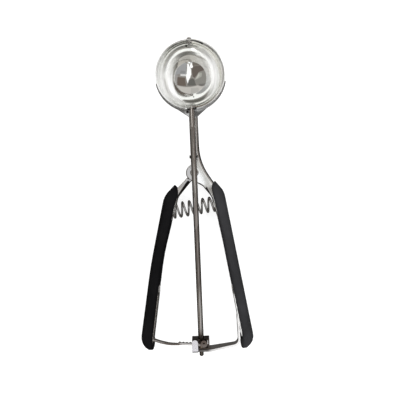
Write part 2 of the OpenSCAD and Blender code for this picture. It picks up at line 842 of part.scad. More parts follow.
module bearing_arm_rivets() {
    color(dark_steel) at_arm_rivets() web_rivet(steel_t + arm_t + 2 * weld_gap);
}

// ---------- Rack ----------

rack_arc_end = 7;        // angle at which the strip's arc round the hinge ends
rack_rise_start = -16;   // where the strip starts to step back towards the handle
rack_rise_end = -26;
rack_step = 2.0;         // depth of that step
rack_tail_over = 1.4;    // how far the strip reaches behind the teeth's roots past the step
rack_tooth_places = [-1:6];    // teeth of the rack, counted from the one below the hinge
rack_foot_low = rack_y + 5.4;
rack_foot_high = rack_foot_low + 13;
rack_foot_depth = 7;
rack_bend_r = 2.5;       // radius of the bend at the foot's lower end
stop_left = bracket_left + lug_w + free_gap;
eye_r = 2.4;
eye_x = 1.95;
eye_y = rack_y + 0.6;
eye_t = 1.0;
eye_hole_d = 1.8;
left_foot_line = moved_line(left_web, steel_t + weld_gap + rack_t / 2);
rack_corner = line_below(left_foot_line, rack_foot_low)[0];

// The strip past its teeth: straight, then bent up to the handle and along its web
rack_tail = rounded_line([
    [-rack_r * sin(rack_arc_end - 1), hinge_y - rack_r * cos(rack_arc_end - 1), 0],
    [rack_rise_end + 1, rack_y + 0.3, 25],
    [rack_corner[0], rack_corner[1], rack_bend_r],
    line_below(left_foot_line, rack_foot_low + rack_bend_r + 0.5)[0]
]);

// A tooth of the rack, as seen along the shaft
module rack_tooth() {
    tip_half = tooth_half_pitch - addendum * tan(pressure_angle);
    root_half = tooth_half_pitch + dedendum * tan(pressure_angle);
    polygon([
        [-tip_half, -addendum],
        [tip_half, -addendum],
        [root_half, dedendum],
        [root_half, dedendum + rack_h / 2],
        [-root_half, dedendum + rack_h / 2],
        [-root_half, dedendum]
    ]);
}

// Strip with its step and its stop, as seen along the shaft
module rack_side() {
    back_z = rack_root_z - rack_step - rack_tail_over;
    polygon([
        [eye_x + eye_r, rack_root_z],
        [rack_rise_start, rack_root_z],
        [rack_rise_end, back_z],
        [-left_reach, back_z],
        [-left_reach, rack_front_z - rack_step],
        [rack_rise_end, rack_front_z - rack_step],
        [rack_rise_start, rack_front_z],
        [stop_left, rack_front_z],
        [stop_left, lug_z + lug_t],
        [eye_x + eye_r, lug_z + lug_t]
    ]);
}

module rack_ring() {
    difference() {
        hinge_cylinder(-far, far, 2 * rack_r + rack_t);
        hinge_cylinder(-far, far, 2 * rack_r - rack_t);
    }
}

// The outline of the arc that is centred on the hinge
module arc_outline() {
    polygon([
        [0, hinge_y],
        [-2 * rack_r * sin(rack_arc_end), hinge_y - 2 * rack_r * cos(rack_arc_end)],
        [eye_x + eye_r, hinge_y - 2 * rack_r],
        [eye_x + eye_r, hinge_y]
    ]);
}

module at_rack_rivets() {
    outer_low = line_below(left_web, rack_foot_low)[0];
    outer_high = line_below(left_web, rack_foot_high)[0];
    at_web_rivets(outer_high[0], outer_high[1], outer_low[0], outer_low[1], -1) children();
}

module rack_rivet_holes() {
    at_rack_rivets() translate([0, 0, -hole_over])
        cylinder(h = steel_t + rack_t + 3 * hole_over, d = rivet_d + 2 * fixed_gap);
}

module rack_arm() {
    color(steel) difference() {
        union() {
            // Arc with the stop's fold
            intersection() {
                rack_ring();
                across(-far, far) arc_outline();
                rotate([90, 0, 0]) linear_extrude(3 * far) rack_side();
            }
            // Teeth on the back of the arc
            intersection() {
                rack_ring();
                for (i = rack_tooth_places) translate([0, hinge_y, 0]) rotate([0, 0, -360 * i / rack_teeth])
                    translate([0, -rack_r + rack_t, rack_pitch_z]) rotate([90, 0, 0])
                        linear_extrude(2 * rack_t) rack_tooth();
            }
            // Tail, and its foot inside the handle
            intersection() {
                across(-far, far) strip(rack_tail, -rack_t / 2, rack_t / 2);
                rotate([90, 0, 0]) linear_extrude(3 * far) rack_side();
            }
            intersection() {
                across(rack_root_z - rack_step - rack_foot_depth, rack_front_z - rack_step)
                    strip(line_below(left_foot_line, rack_foot_high), -rack_t / 2, rack_t / 2);
                side_profile(lever_ear_half, steel_t + weld_gap);
                translate([-far, rack_foot_low + rack_bend_r, -far]) cube(2 * far);
            }
            // Eye at the end of the stop
            difference() {
                translate([eye_x, eye_y, lug_z + lug_t - eye_t]) cylinder(h = eye_t, r = eye_r);
                translate([eye_x, eye_y, -far]) cylinder(h = 2 * far, d = eye_hole_d);
            }
        }
        rack_rivet_holes();
    }
}

module rack_rivets() {
    color(dark_steel) at_rack_rivets() web_rivet(steel_t + rack_t + 2 * weld_gap);
}

// ---------- Scraper ----------

blade_out_r = bowl_in_r - blade_gap;
blade_in_r = blade_out_r - blade_t;
spigot_d = shaft_d * 0.6;
spigot_over = 0.4;       // how far the shaft's spigot stands out inside the blade
shoulder_y = -blade_out_r - weld_gap;
shaft_end_y = bracket_bottom_y - arm_t - journal_end;
journal_tip = journal_d / 4;   // length of the thinner tip of the journal
blade_head_over = 0.8;   // how far the blade rivet's head reaches past the spigot's side
blade_head_h = 0.8;

module drive_shaft() {
    color(dark_steel) difference() {
        union() {
            pin_along_shaft(pinion_bottom_y, shoulder_y, shaft_d);
            pin_along_shaft(shoulder_y, -blade_in_r + spigot_over, spigot_d);
            pin_along_shaft(shaft_end_y + journal_tip, pinion_bottom_y, journal_d);
            pin_along_shaft(shaft_end_y, shaft_end_y + journal_tip, journal_d * 0.8);
        }
        pinion_pin_solid(pinion_pin_d + 2 * fixed_gap);
    }
}

// The blade's lens has this half width at the middle and reaches half of blade_tab at the ends
lens_sag = (blade_w - blade_tab) / 2;
lens_r = (blade_out_r * blade_out_r + lens_sag * lens_sag) / (2 * lens_sag);

module scraper_blade() {
    color(steel) translate([0, 0, axis_z]) rotate([0, blade_rest, 0]) difference() {
        intersection() {
            sphere(blade_out_r);
            union() {
                rotate([0, 90, 0]) intersection() {
                    translate([lens_r - blade_w / 2, 0, 0]) cylinder(h = far, r = lens_r, $fn = 400);
                    translate([-lens_r + blade_w / 2, 0, 0]) cylinder(h = far, r = lens_r, $fn = 400);
                }
                translate([0, far / 2, 0]) rotate([90, 0, 0]) cylinder(h = far, d = blade_tab);
            }
        }
        sphere(blade_in_r);
        rotate([-90, 0, 0]) cylinder(h = far, d = pivot_d + 2 * running_gap);
        rotate([90, 0, 0]) cylinder(h = far, d = spigot_d + 2 * fixed_gap);
    }
}

module blade_rivet() {
    head_r = spigot_d / 2 + blade_head_over;
    head_y = -sqrt(blade_in_r * blade_in_r - head_r * head_r) + weld_gap;
    color(steel) difference() {
        pin_along_shaft(head_y, head_y + blade_head_h, 2 * head_r);
        pin_along_shaft(-blade_in_r - hole_over, -blade_in_r + spigot_over + fixed_gap,
            spigot_d + 2 * fixed_gap);
    }
}

bowl();
bowl_cradle();
blade_pivot();
frame_channel();
shaft_guide();
hinge_pin();
hinge_sleeve();
right_grip();
right_spring_seat();
bearing_arm();
bearing_arm_rivets();
gear_bracket();
lever_channel();
left_grip();
left_spring_seat();
rack_arm();
rack_rivets();
drive_shaft();
scraper_blade();
blade_rivet();
pinion();
pinion_pin();
return_spring();
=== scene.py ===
"""A lever ice cream scoop: detailed pieces and finishes built round its packed construction."""

from __future__ import annotations

import logging
import math
from contextlib import contextmanager
from dataclasses import dataclass, replace
from enum import Enum
from typing import Callable, Iterator, Sequence

import bmesh
import bpy
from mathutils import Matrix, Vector
from mathutils.bvhtree import BVHTree


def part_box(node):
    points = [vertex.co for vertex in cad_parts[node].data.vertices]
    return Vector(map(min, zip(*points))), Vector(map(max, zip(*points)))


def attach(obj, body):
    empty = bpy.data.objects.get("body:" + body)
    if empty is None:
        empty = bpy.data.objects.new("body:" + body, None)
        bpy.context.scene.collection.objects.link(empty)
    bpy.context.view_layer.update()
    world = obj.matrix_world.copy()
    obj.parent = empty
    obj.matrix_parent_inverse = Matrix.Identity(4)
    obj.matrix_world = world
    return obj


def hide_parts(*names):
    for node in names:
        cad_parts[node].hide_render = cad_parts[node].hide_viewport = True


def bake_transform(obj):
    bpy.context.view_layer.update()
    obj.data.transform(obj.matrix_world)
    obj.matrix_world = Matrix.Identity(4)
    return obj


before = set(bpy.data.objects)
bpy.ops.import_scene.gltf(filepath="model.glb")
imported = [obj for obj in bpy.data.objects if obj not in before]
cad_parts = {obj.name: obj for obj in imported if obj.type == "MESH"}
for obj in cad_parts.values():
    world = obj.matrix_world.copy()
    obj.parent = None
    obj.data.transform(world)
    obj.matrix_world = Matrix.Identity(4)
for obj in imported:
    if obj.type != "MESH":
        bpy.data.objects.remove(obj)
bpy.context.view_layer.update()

log = logging.getLogger("scoop")

MM = 0.001

MERGE_DISTANCE = 0.004
BEND_ANGLE = math.radians(50)

# Least Z of a level face's normal, most Z of an upright one's, least X of one that faces the side.
LEVEL_FACE = 0.9
UPRIGHT_FACE = 0.2
SIDE_FACE = 0.35

# Of a domed head: its upright edge's share of its height, the share of its radius at its flat side, the
# smallest share at its tip, and the power that fills out its curve.
DOME_EDGE = 0.35
DOME_FOOT = 0.96
DOME_TIP = 0.03
DOME_POWER = 0.7

# Patches of painted shade: their edge and their core, as shares of their radius, and their colour.
SPOT_EDGE = 1.15
SPOT_CORE = 0.6
PAINTED_SHADE_COLOUR = (0.012, 0.011, 0.009)

# How far wear thins a tint; the steel's own colour, where no shade is painted; painted shade on the frame
# channel's web and outer bend; painted shade inside the gear box.
TINT_WEAR = 0.35
UNSHADED_STEEL = (0.86, 0.855, 0.84)
PAINTED_BEND_SHADE = (0.17, 0.17, 0.165)
PAINTED_BOX_SHADE = (0.07, 0.055, 0.045)


class Slot(Enum):
    """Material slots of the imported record."""

    POLISHED = "polished_steel"
    BOWL = "bowl_steel"
    SHAFT = "shaft_steel"
    GEAR = "gear_steel"
    SPRING = "spring_steel"
    GRIP = "grip_rubber"


class Body(Enum):
    """Rigid bodies of the construction."""

    FRAME = "frame"
    LEVER = "lever"
    SCRAPER = "scraper"


class Grain(Enum):
    """Direction in which a piece of steel was drawn or brushed."""

    ALONG_X = (0.03, 1.0, 1.0)
    ALONG_Y = (1.0, 0.03, 1.0)
    NONE = (1.0, 1.0, 1.0)


class Axis(Enum):
    """Axes of the shared frame."""

    X = "X"
    Y = "Y"
    Z = "Z"


# ---------- Mesh tools ----------


def deselect_all() -> None:
    """Deselects every object."""
    bpy.ops.object.select_all(action="DESELECT")


def activate(piece: bpy.types.Object) -> None:
    """Makes one object the only selected and the active one.

    Args:
        piece: The object that the next operators work on.
    """
    deselect_all()
    piece.select_set(True)
    bpy.context.view_layer.objects.active = piece


@contextmanager
def edit_mode(piece: bpy.types.Object, elements: str = "FACE") -> Iterator[bmesh.types.BMesh]:
    """Opens an object in edit mode with nothing selected.

    Args:
        piece: The object to edit.
        elements: Which elements operators select, VERT, EDGE or FACE.

    Returns:
        The edit mesh, for selecting elements in code.
    """
    activate(piece)
    bpy.ops.object.mode_set(mode="EDIT")
    bpy.ops.mesh.select_mode(type=elements)
    bpy.ops.mesh.select_all(action="DESELECT")
    mesh = bmesh.from_edit_mesh(piece.data)
    yield mesh
    bpy.ops.object.mode_set(mode="OBJECT")


def choose(piece: bpy.types.Object, mesh: bmesh.types.BMesh, elements: Sequence) -> int:
    """Selects elements of the edit mesh.

    Args:
        piece: The object in edit mode.
        mesh: Its edit mesh.
        elements: The vertices, edges or faces to select.

    Returns:
        How many were selected.
    """
    for element in elements:
        element.select = True
    mesh.select_flush_mode()
    bmesh.update_edit_mesh(piece.data)
    return len(elements)


def apply_modifier(piece: bpy.types.Object, kind: str, **settings: object) -> None:
    """Adds a modifier with these settings and applies it.

    Args:
        piece: The object that gets it.
        kind: Blender's name of the modifier.
        settings: Its properties.
    """
    activate(piece)
    modifier = piece.modifiers.new(kind.lower(), kind)
    for key, value in settings.items():
        setattr(modifier, key, value)
    bpy.ops.object.modifier_apply(modifier=modifier.name)


def shade(piece: bpy.types.Object, angle: float = 35.0) -> None:
    """Shades a piece smooth, with edges sharper than an angle kept sharp and wide faces kept flat.

    Args:
        piece: The piece.
        angle: The angle in degrees.
    """
    activate(piece)
    bpy.ops.object.shade_smooth_by_angle(angle=math.radians(angle))
    apply_modifier(piece, "WEIGHTED_NORMAL", mode="FACE_AREA", weight=100, keep_sharp=True)


def settle(piece: bpy.types.Object) -> None:
    """Puts a piece's place into its mesh, so that its object sits at the origin."""
    activate(piece)
    bpy.ops.object.transform_apply(location=True, rotation=True, scale=True)


def merged_copy(node: str, name: str, flat_angle: float = 0.6) -> bpy.types.Object:
    """Copies a node's mesh as one joined surface with whole flat faces.

    Args:
        node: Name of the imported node.
        name: Name of the new piece.
        flat_angle: Faces that meet at less than this angle, in degrees, become one.

    Returns:
        The new piece.
    """
    piece = bpy.data.objects.new(name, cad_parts[node].data.copy())
    bpy.context.scene.collection.objects.link(piece)
    piece.data.materials.clear()
    activate(piece)
    bpy.ops.mesh.customdata_custom_splitnormals_clear()
    with edit_mode(piece, "VERT"):
        bpy.ops.mesh.select_all(action="SELECT")
        bpy.ops.mesh.remove_doubles(threshold=MERGE_DISTANCE * MM)
        bpy.ops.mesh.dissolve_limited(angle_limit=math.radians(flat_angle))
    return piece


def round_edges(piece: bpy.types.Object, width: float, segments: int = 2, angle: float = 40.0) -> None:
    """Rounds the sharp edges of a piece.

    Args:
        piece: The piece.
        width: Width of the rounding in millimetres.
        segments: Steps across it.
        angle: Edges sharper than this, in degrees, are rounded.
    """
    apply_modifier(piece, "BEVEL", width=width * MM, segments=segments, limit_method="ANGLE",
                   angle_limit=math.radians(angle), harden_normals=False, use_clamp_overlap=True)


def eased_copy(node: str, name: str, width: float, flat_angle: float = 0.4,
               shading: float = 35.0) -> bpy.types.Object:
    """Copies a node with its sharp edges rounded.

    Args:
        node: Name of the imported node.
        name: Name of the new piece.
        width: Width of the rounding in millimetres.
        flat_angle: Faces that meet at less than this angle, in degrees, become one.
        shading: Edges sharper than this, in degrees, stay sharp in the shading.

    Returns:
        The new piece.
    """
    piece = merged_copy(node, name, flat_angle)
    round_edges(piece, width)
    shade(piece, shading)
    return piece


def tube(name: str, line: Sequence[tuple[Vector, float]], radius: float, smoothness: int) -> bpy.types.Object:
    """Draws a round wire or bead along a line.

    Args:
        name: Name of the new piece.
        line: Points of its middle in metres, each with its share of the radius.
        radius: Its radius in millimetres.
        smoothness: Steps round each quarter of it.

    Returns:
        The new piece, closed at both ends.
    """
    curve = bpy.data.curves.new(name, "CURVE")
    curve.dimensions = "3D"
    curve.bevel_depth = radius * MM
    curve.bevel_resolution = smoothness
    curve.use_fill_caps = True
    spline = curve.splines.new("POLY")
    spline.points.add(len(line) - 1)
    for place, (middle, share) in zip(spline.points, line):
        place.co = (*middle, 1)
        place.radius = share
    piece = bpy.data.objects.new(name, curve)
    bpy.context.scene.collection.objects.link(piece)
    activate(piece)
    bpy.ops.object.convert(target="MESH")
    return bpy.context.active_object


def bend_edges(piece: bpy.types.Object, wanted: Callable[[bmesh.types.BMEdge], bool], radius: float,
               segments: int = 5) -> int:
    """Rounds chosen edges with a wide radius, as a press bends sheet steel.

    Args:
        piece: The piece.
        wanted: Says of an edge whether it is one of them.
        radius: The bend's radius in millimetres.
        segments: Steps round the bend.

    Returns:
        How many edges were rounded.
    """
    with edit_mode(piece, "EDGE") as mesh:
        count = choose(piece, mesh, [edge for edge in mesh.edges if wanted(edge)])
        if count:
            bpy.ops.mesh.bevel(offset=radius * MM, segments=segments, profile=0.5, affect="EDGES",
                               clamp_overlap=False)
    return count


@dataclass(frozen=True)
class Turning:
    """A turned piece: a profile of stations that is drawn round an axis.

    Args:
        name: Name of the piece.
        stations: Pairs of the distance along the axis and the radius there, in millimetres.
        centre: A point on the axis, in millimetres; the stations start from it.
        along: Its direction, Y or Z.
        sides: Points round the piece.
    """

    name: str
    stations: tuple[tuple[float, float], ...]
    centre: tuple[float, float, float]
    along: Axis = Axis.Y
    sides: int = 48

    def build(self) -> bpy.types.Object:
        """Extrudes a circle from station to station.

        Returns:
            The new piece, closed at both ends.
        """
        axis = Vector((0, 1, 0)) if self.along is Axis.Y else Vector((0, 0, 1))
        turn = (math.radians(90), 0, 0) if self.along is Axis.Y else (0, 0, 0)
        start = Vector(self.centre) * MM + axis * self.stations[0][0] * MM
        deselect_all()
        bpy.ops.mesh.primitive_circle_add(vertices=self.sides, radius=self.stations[0][1] * MM,
                                          fill_type="NGON", location=start, rotation=turn)
        piece = bpy.context.active_object
        piece.name = self.name
        settle(piece)
        with edit_mode(piece, "FACE") as mesh:
            choose(piece, mesh, list(mesh.faces))
            for (before, old), (after, new) in zip(self.stations, self.stations[1:]):
                step = axis * (after - before) * MM
                bpy.ops.mesh.extrude_region_move(TRANSFORM_OT_translate={"value": step})
                centre = Vector(self.centre) * MM + axis * after * MM
                bpy.ops.transform.resize(value=(new / old,) * 3, center_override=centre)
            bpy.ops.mesh.select_all(action="SELECT")
            bpy.ops.mesh.normals_make_consistent(inside=False)
        return piece


def domed(low: float, high: float, radius: float, steps: int = 6) -> tuple[tuple[float, float], ...]:
    """Stations of a rivet's domed head, from its flat side to its top.

    Args:
        low: Where the head's flat side lies along the axis.
        high: Where its top lies.
        radius: Its radius.
        steps: Steps up the dome.

    Returns:
        The stations, in the order from low to high.
    """
    edge = DOME_EDGE * (high - low)
    dome = [(low + edge + (high - low - edge) * math.sin(a),
             radius * max(math.cos(a), DOME_TIP) ** DOME_POWER)
            for a in (math.pi / 2 * i / steps for i in range(steps + 1))]
    return ((low, radius * DOME_FOOT), *dome)


# ---------- Shader tools ----------


Value = float | tuple[float, ...] | bpy.types.NodeSocket


def put(tree: bpy.types.NodeTree, kind: str, inputs: dict[str | int, Value] | None = None,
        **settings: object) -> bpy.types.Node:
    """Adds a node with its settings and inputs.

    Args:
        tree: The node tree.
        kind: Blender's name of the node.
        inputs: Values or sockets by the input's name or number.
        settings: The node's properties.

    Returns:
        The new node.
    """
    node = tree.nodes.new(kind)
    for key, value in settings.items():
        setattr(node, key, value)
    for key, value in (inputs or {}).items():
        if isinstance(value, bpy.types.NodeSocket):
            tree.links.new(value, node.inputs[key])
        else:
            node.inputs[key].default_value = value
    return node


def calculate(tree: bpy.types.NodeTree, operation: str, *values: Value) -> bpy.types.NodeSocket:
    """Adds a Math node and gives its result."""
    return put(tree, "ShaderNodeMath", dict(enumerate(values)), operation=operation).outputs[0]


def vector_math(tree: bpy.types.NodeTree, operation: str, *values: Value) -> bpy.types.NodeSocket:
    """Adds a Vector Math node and gives its result, a number for a length or a dot product."""
    node = put(tree, "ShaderNodeVectorMath", dict(enumerate(values)), operation=operation)
    return node.outputs["Value" if operation in ("LENGTH", "DOT_PRODUCT") else "Vector"]


def ranged(tree: bpy.types.NodeTree, value: Value, start: Value = 0.0, end: Value = 1.0, low: float = 0.0,
           high: float = 1.0) -> bpy.types.NodeSocket:
    """Maps a value from one range to another.

    Args:
        tree: The node tree.
        value: The value.
        start: The value that becomes low.
        end: The value that becomes high.
        low: The result at start.
        high: The result at end.

    Returns:
        The result's socket.
    """
    return put(tree, "ShaderNodeMapRange", {0: value, 1: start, 2: end, 3: low, 4: high}).outputs[0]


def noise(tree: bpy.types.NodeTree, place: bpy.types.NodeSocket, scale: Value, detail: float,
          roughness: float, distortion: float = 0.0) -> bpy.types.NodeSocket:
    """Adds a noise texture.

    Args:
        tree: The node tree.
        place: Its coordinates.
        scale: Its fineness, per metre.
        detail: How many finer layers it has.
        roughness: How strong those are.
        distortion: How far it is drawn about.

    Returns:
        The socket of its value.
    """
    return put(tree, "ShaderNodeTexNoise", {"Vector": place, "Scale": scale, "Detail": detail,
                                            "Roughness": roughness, "Distortion": distortion}).outputs[0]


def new_group(name: str, inputs: dict[str, float], outputs: Sequence[str]) -> bpy.types.NodeTree:
    """Starts a shader node group that takes a Vector.

    Args:
        name: Name of the group.
        inputs: Its number inputs and their defaults.
        outputs: Names of its number outputs.

    Returns:
        The group's tree, with its input and output nodes.
    """
    tree = bpy.data.node_groups.new(name, "ShaderNodeTree")
    tree.interface.new_socket("Vector", in_out="INPUT", socket_type="NodeSocketVector")
    for key, value in inputs.items():
        socket = tree.interface.new_socket(key, in_out="INPUT", socket_type="NodeSocketFloat")
        socket.default_value = value
    for key in outputs:
        tree.interface.new_socket(key, in_out="OUTPUT", socket_type="NodeSocketFloat")
    tree.nodes.new("NodeGroupInput")
    tree.nodes.new("NodeGroupOutput")
    return tree


def group_ends(tree: bpy.types.NodeTree) -> tuple[bpy.types.Node, bpy.types.Node]:
    """The input node and the output node of a group's tree."""
    return tree.nodes["Group Input"], tree.nodes["Group Output"]


def scratches_group() -> bpy.types.NodeTree:
    """Fine scratches that run one way, with a few that cross them.

    Returns:
        A group with the outputs Height, for bump, and Wear, a soft mask of worn streaks.
    """
    tree = new_group("fine_scratches", {"Scale": 900.0, "Crossing": 0.3}, ("Height", "Wear"))
    source, result = group_ends(tree)
    place, scale = source.outputs["Vector"], source.outputs["Scale"]
    drawn = noise(tree, place, scale, 6.0, 0.65)
    turned = put(tree, "ShaderNodeMapping", {"Vector": place, "Rotation": (0.5, 0.35, 0.9),
                                             "Scale": (0.08, 1.0, 1.0)})
    lines = ranged(tree, noise(tree, turned.outputs[0], scale, 3.0, 0.5), 0.62, 0.74)
    crossing = calculate(tree, "MULTIPLY", lines, source.outputs["Crossing"])
    streaks = noise(tree, place, calculate(tree, "MULTIPLY", scale, 0.12), 4.0, 0.6)
    tree.links.new(calculate(tree, "SUBTRACT", drawn, crossing), result.inputs["Height"])
    tree.links.new(ranged(tree, streaks, 0.35, 0.7), result.inputs["Wear"])
    return tree


def smudges_group() -> bpy.types.NodeTree:
    """Soft patches where hands and cloths have dulled a surface.

    Returns:
        A group with the output Mask.
    """
    tree = new_group("smudges", {"Scale": 60.0, "Contrast": 0.5}, ("Mask",))
    source, result = group_ends(tree)
    patches = noise(tree, source.outputs["Vector"], source.outputs["Scale"], 5.0, 0.55, 0.4)
    low = calculate(tree, "MULTIPLY", 0.5, source.outputs["Contrast"])
    tree.links.new(ranged(tree, patches, low, 0.75), result.inputs["Mask"])
    return tree


SCRATCHES = scratches_group()
SMUDGES = smudges_group()


def use_group(tree: bpy.types.NodeTree, group: bpy.types.NodeTree,
              inputs: dict[str, Value]) -> bpy.types.Node:
    """Places a group in a material, with values or sockets by the group's input names."""
    return put(tree, "ShaderNodeGroup", inputs, node_tree=group)


def new_material(name: str) -> tuple[bpy.types.Material, bpy.types.Node]:
    """Starts a node material.

    Args:
        name: Name of the material.

    Returns:
        The material and its Principled BSDF.
    """
    material = bpy.data.materials.new(name)
    material.use_nodes = True
    material.node_tree.nodes.clear()
    shader = put(material.node_tree, "ShaderNodeBsdfPrincipled")
    put(material.node_tree, "ShaderNodeOutputMaterial", {"Surface": shader.outputs[0]})
    return material, shader


def object_coordinates(tree: bpy.types.NodeTree,
                       stretch: Sequence[float] = (1.0, 1.0, 1.0)) -> bpy.types.NodeSocket:
    """Object coordinates, stretched along the axes.

    Args:
        tree: The material's tree.
        stretch: Factors for X, Y and Z.

    Returns:
        The socket of the mapped coordinates.
    """
    place = put(tree, "ShaderNodeTexCoord").outputs["Object"]
    return put(tree, "ShaderNodeMapping", {"Vector": place, "Scale": tuple(stretch)}).outputs[0]


def two_tone(tree: bpy.types.NodeTree, mask: bpy.types.NodeSocket, low: Value,
             high: tuple[float, float, float]) -> bpy.types.NodeSocket:
    """A colour that runs from low to high with a mask.

    Args:
        tree: The material's tree.
        mask: A value from 0 to 1.
        low: Colour at 0, or its socket.
        high: Colour at 1.

    Returns:
        The colour's socket.
    """
    first = low if isinstance(low, bpy.types.NodeSocket) else (*low, 1.0)
    return put(tree, "ShaderNodeMix", {0: mask, 6: first, 7: (*high, 1.0)}, data_type="RGBA").outputs[2]


def give_surface(tree: bpy.types.NodeTree, shader: bpy.types.Node, mask: bpy.types.NodeSocket,
                 roughness: tuple[float, float], height: bpy.types.NodeSocket, depth: float,
                 strength: float = 1.0) -> None:
    """Gives a shader its roughness and its bump.

    Args:
        tree: The material's tree.
        shader: Its Principled BSDF.
        mask: A value from 0 to 1.
        roughness: Roughness where the mask is 0 and where it is 1.
        height: Height of the marks.
        depth: Their depth in millimetres.
        strength: Share of the bump that shows.
    """
    tree.links.new(ranged(tree, mask, low=roughness[0], high=roughness[1]), shader.inputs["Roughness"])
    bump = put(tree, "ShaderNodeBump", {"Height": height, "Strength": strength, "Distance": depth * MM})
    tree.links.new(bump.outputs[0], shader.inputs["Normal"])


@dataclass(frozen=True)
class LevelTint:
    """A part of a piece that is tinted, from one level along an axis to another, mostly with painted shade.

    Args:
        axis: The axis.
        clean: Level in millimetres up to which the piece keeps its own colour.
        full: Level from which the tint has its full colour.
        colour: Colour of the tint.
    """

    axis: Axis
    clean: float
    full: float
    colour: tuple[float, float, float]


@dataclass(frozen=True)
class ShadeSpot:
    """A round patch of painted shade, laid where a crease or a gap between parts is shaded.

    Args:
        centre: Its middle in millimetres.
        radius: Its radius in millimetres.
    """

    centre: tuple[float, float, float]
    radius: float

    def mask(self, tree: bpy.types.NodeTree, place: bpy.types.NodeSocket,
             sink: float) -> bpy.types.NodeSocket:
        """Where the patch of painted shade lies.

        Args:
            tree: The material's tree.
            place: Object coordinates.
            sink: Factor on depths; under 1 it draws the patch out along Z.

        Returns:
            A value from 0, unshaded, to 1, full painted shade.
        """
        shift = tuple(-c * MM * factor for c, factor in zip(self.centre, (1, 1, sink)))
        away = vector_math(tree, "LENGTH", vector_math(tree, "MULTIPLY_ADD", place, (1, 1, sink), shift))
        return ranged(tree, away, self.radius * SPOT_EDGE * MM, self.radius * SPOT_CORE * MM)


def shade_spot_row(start: Sequence[float], end: Sequence[float], radius: float) -> tuple[ShadeSpot, ...]:
    """Sets patches of painted shade in a row, near enough to each other to run together.

    Args:
        start: Middle of the first mark in millimetres.
        end: Middle of the last mark.
        radius: Radius of each mark.

    Returns:
        The patches.
    """
    first, last = Vector(start), Vector(end)
    count = max(2, math.ceil((last - first).length / (SPOT_CORE * radius)))
    return tuple(ShadeSpot(tuple(first.lerp(last, step / (count - 1))), radius) for step in range(count))


def with_painted_shade(tree: bpy.types.NodeTree, place: bpy.types.NodeSocket, shade_spots: Sequence[ShadeSpot],
             colour: bpy.types.NodeSocket, sink: float = 1.0) -> bpy.types.NodeSocket:
    """Paints shade into a colour in some spots.

    Args:
        tree: The material's tree.
        place: Object coordinates.
        shade_spots: The patches of painted shade.
        colour: The unshaded colour.
        sink: Factor on depths; under 1 it draws the patches out along Z.

    Returns:
        The colour's socket.
    """
    for spot in shade_spots:
        colour = two_tone(tree, spot.mask(tree, place, sink), colour, PAINTED_SHADE_COLOUR)
    return colour


@dataclass(frozen=True)
class SteelFinish:
    """Polished or brushed steel.

    Args:
        name: Name of the material.
        colour: Colour where the steel is clean.
        dull: Colour where it is dulled.
        roughness: Roughness of the clean and the dulled surface.
        grain: Direction of its drawing or brushing marks.
        grain_scale: Fineness of the marks, per metre.
        depth: Depth of the marks in millimetres.
        crossing: Share of the scratches that run across.
        evenness: How evenly the dulled streaks lie over the piece, from patches at 0 to all over at 1.
        tints: Parts of the piece that are tinted, mostly with painted shade.
        shade_spots: Patches of painted shade on it.
    """

    name: str
    colour: tuple[float, float, float]
    dull: tuple[float, float, float]
    roughness: tuple[float, float]
    grain: Grain = Grain.NONE
    grain_scale: float = 1500.0
    depth: float = 0.01
    crossing: float = 0.3
    evenness: float = 0.0
    tints: tuple[LevelTint, ...] = ()
    shade_spots: tuple[ShadeSpot, ...] = ()

    def build(self) -> bpy.types.Material:
        """Makes the material.

        Returns:
            A metal whose colour, roughness and bump follow its marks and smudges, with its tints and patches
            of painted shade in the colour.
        """
        material, shader = new_material(self.name)
        tree = material.node_tree
        drawn = object_coordinates(tree, self.grain.value)
        marks = use_group(tree, SCRATCHES, {"Vector": drawn, "Scale": self.grain_scale,
                                            "Crossing": self.crossing})
        dulled = use_group(tree, SMUDGES, {"Vector": object_coordinates(tree), "Scale": 70.0,
                                           "Contrast": 0.7})
        spread = ranged(tree, dulled.outputs["Mask"], low=self.evenness)
        mask = calculate(tree, "MULTIPLY", marks.outputs["Wear"], spread)
        with_tints = self.with_tints(tree, two_tone(tree, mask, self.colour, self.dull), mask)
        colour = with_painted_shade(tree, object_coordinates(tree), self.shade_spots, with_tints)
        tree.links.new(colour, shader.inputs["Base Color"])
        give_surface(tree, shader, mask, self.roughness, marks.outputs["Height"], self.depth)
        shader.inputs["Metallic"].default_value = 1.0
        return material

    def with_tints(self, tree: bpy.types.NodeTree, colour: bpy.types.NodeSocket,
                wear: bpy.types.NodeSocket) -> bpy.types.NodeSocket:
        """Tints parts of the piece, mostly with painted shade.

        Args:
            tree: The material's tree.
            colour: The steel's own colour.
            wear: Mask of the wear, which thins the tints.

        Returns:
            The colour's socket.
        """
        place = put(tree, "ShaderNodeSeparateXYZ", {0: object_coordinates(tree)})
        thinned = calculate(tree, "MULTIPLY_ADD", wear, -TINT_WEAR, 1.0)
        for level_tint in self.tints:
            level = ranged(tree, place.outputs[level_tint.axis.value], level_tint.clean * MM, level_tint.full * MM)
            colour = two_tone(tree, calculate(tree, "MULTIPLY", level, thinned), colour, level_tint.colour)
        return colour


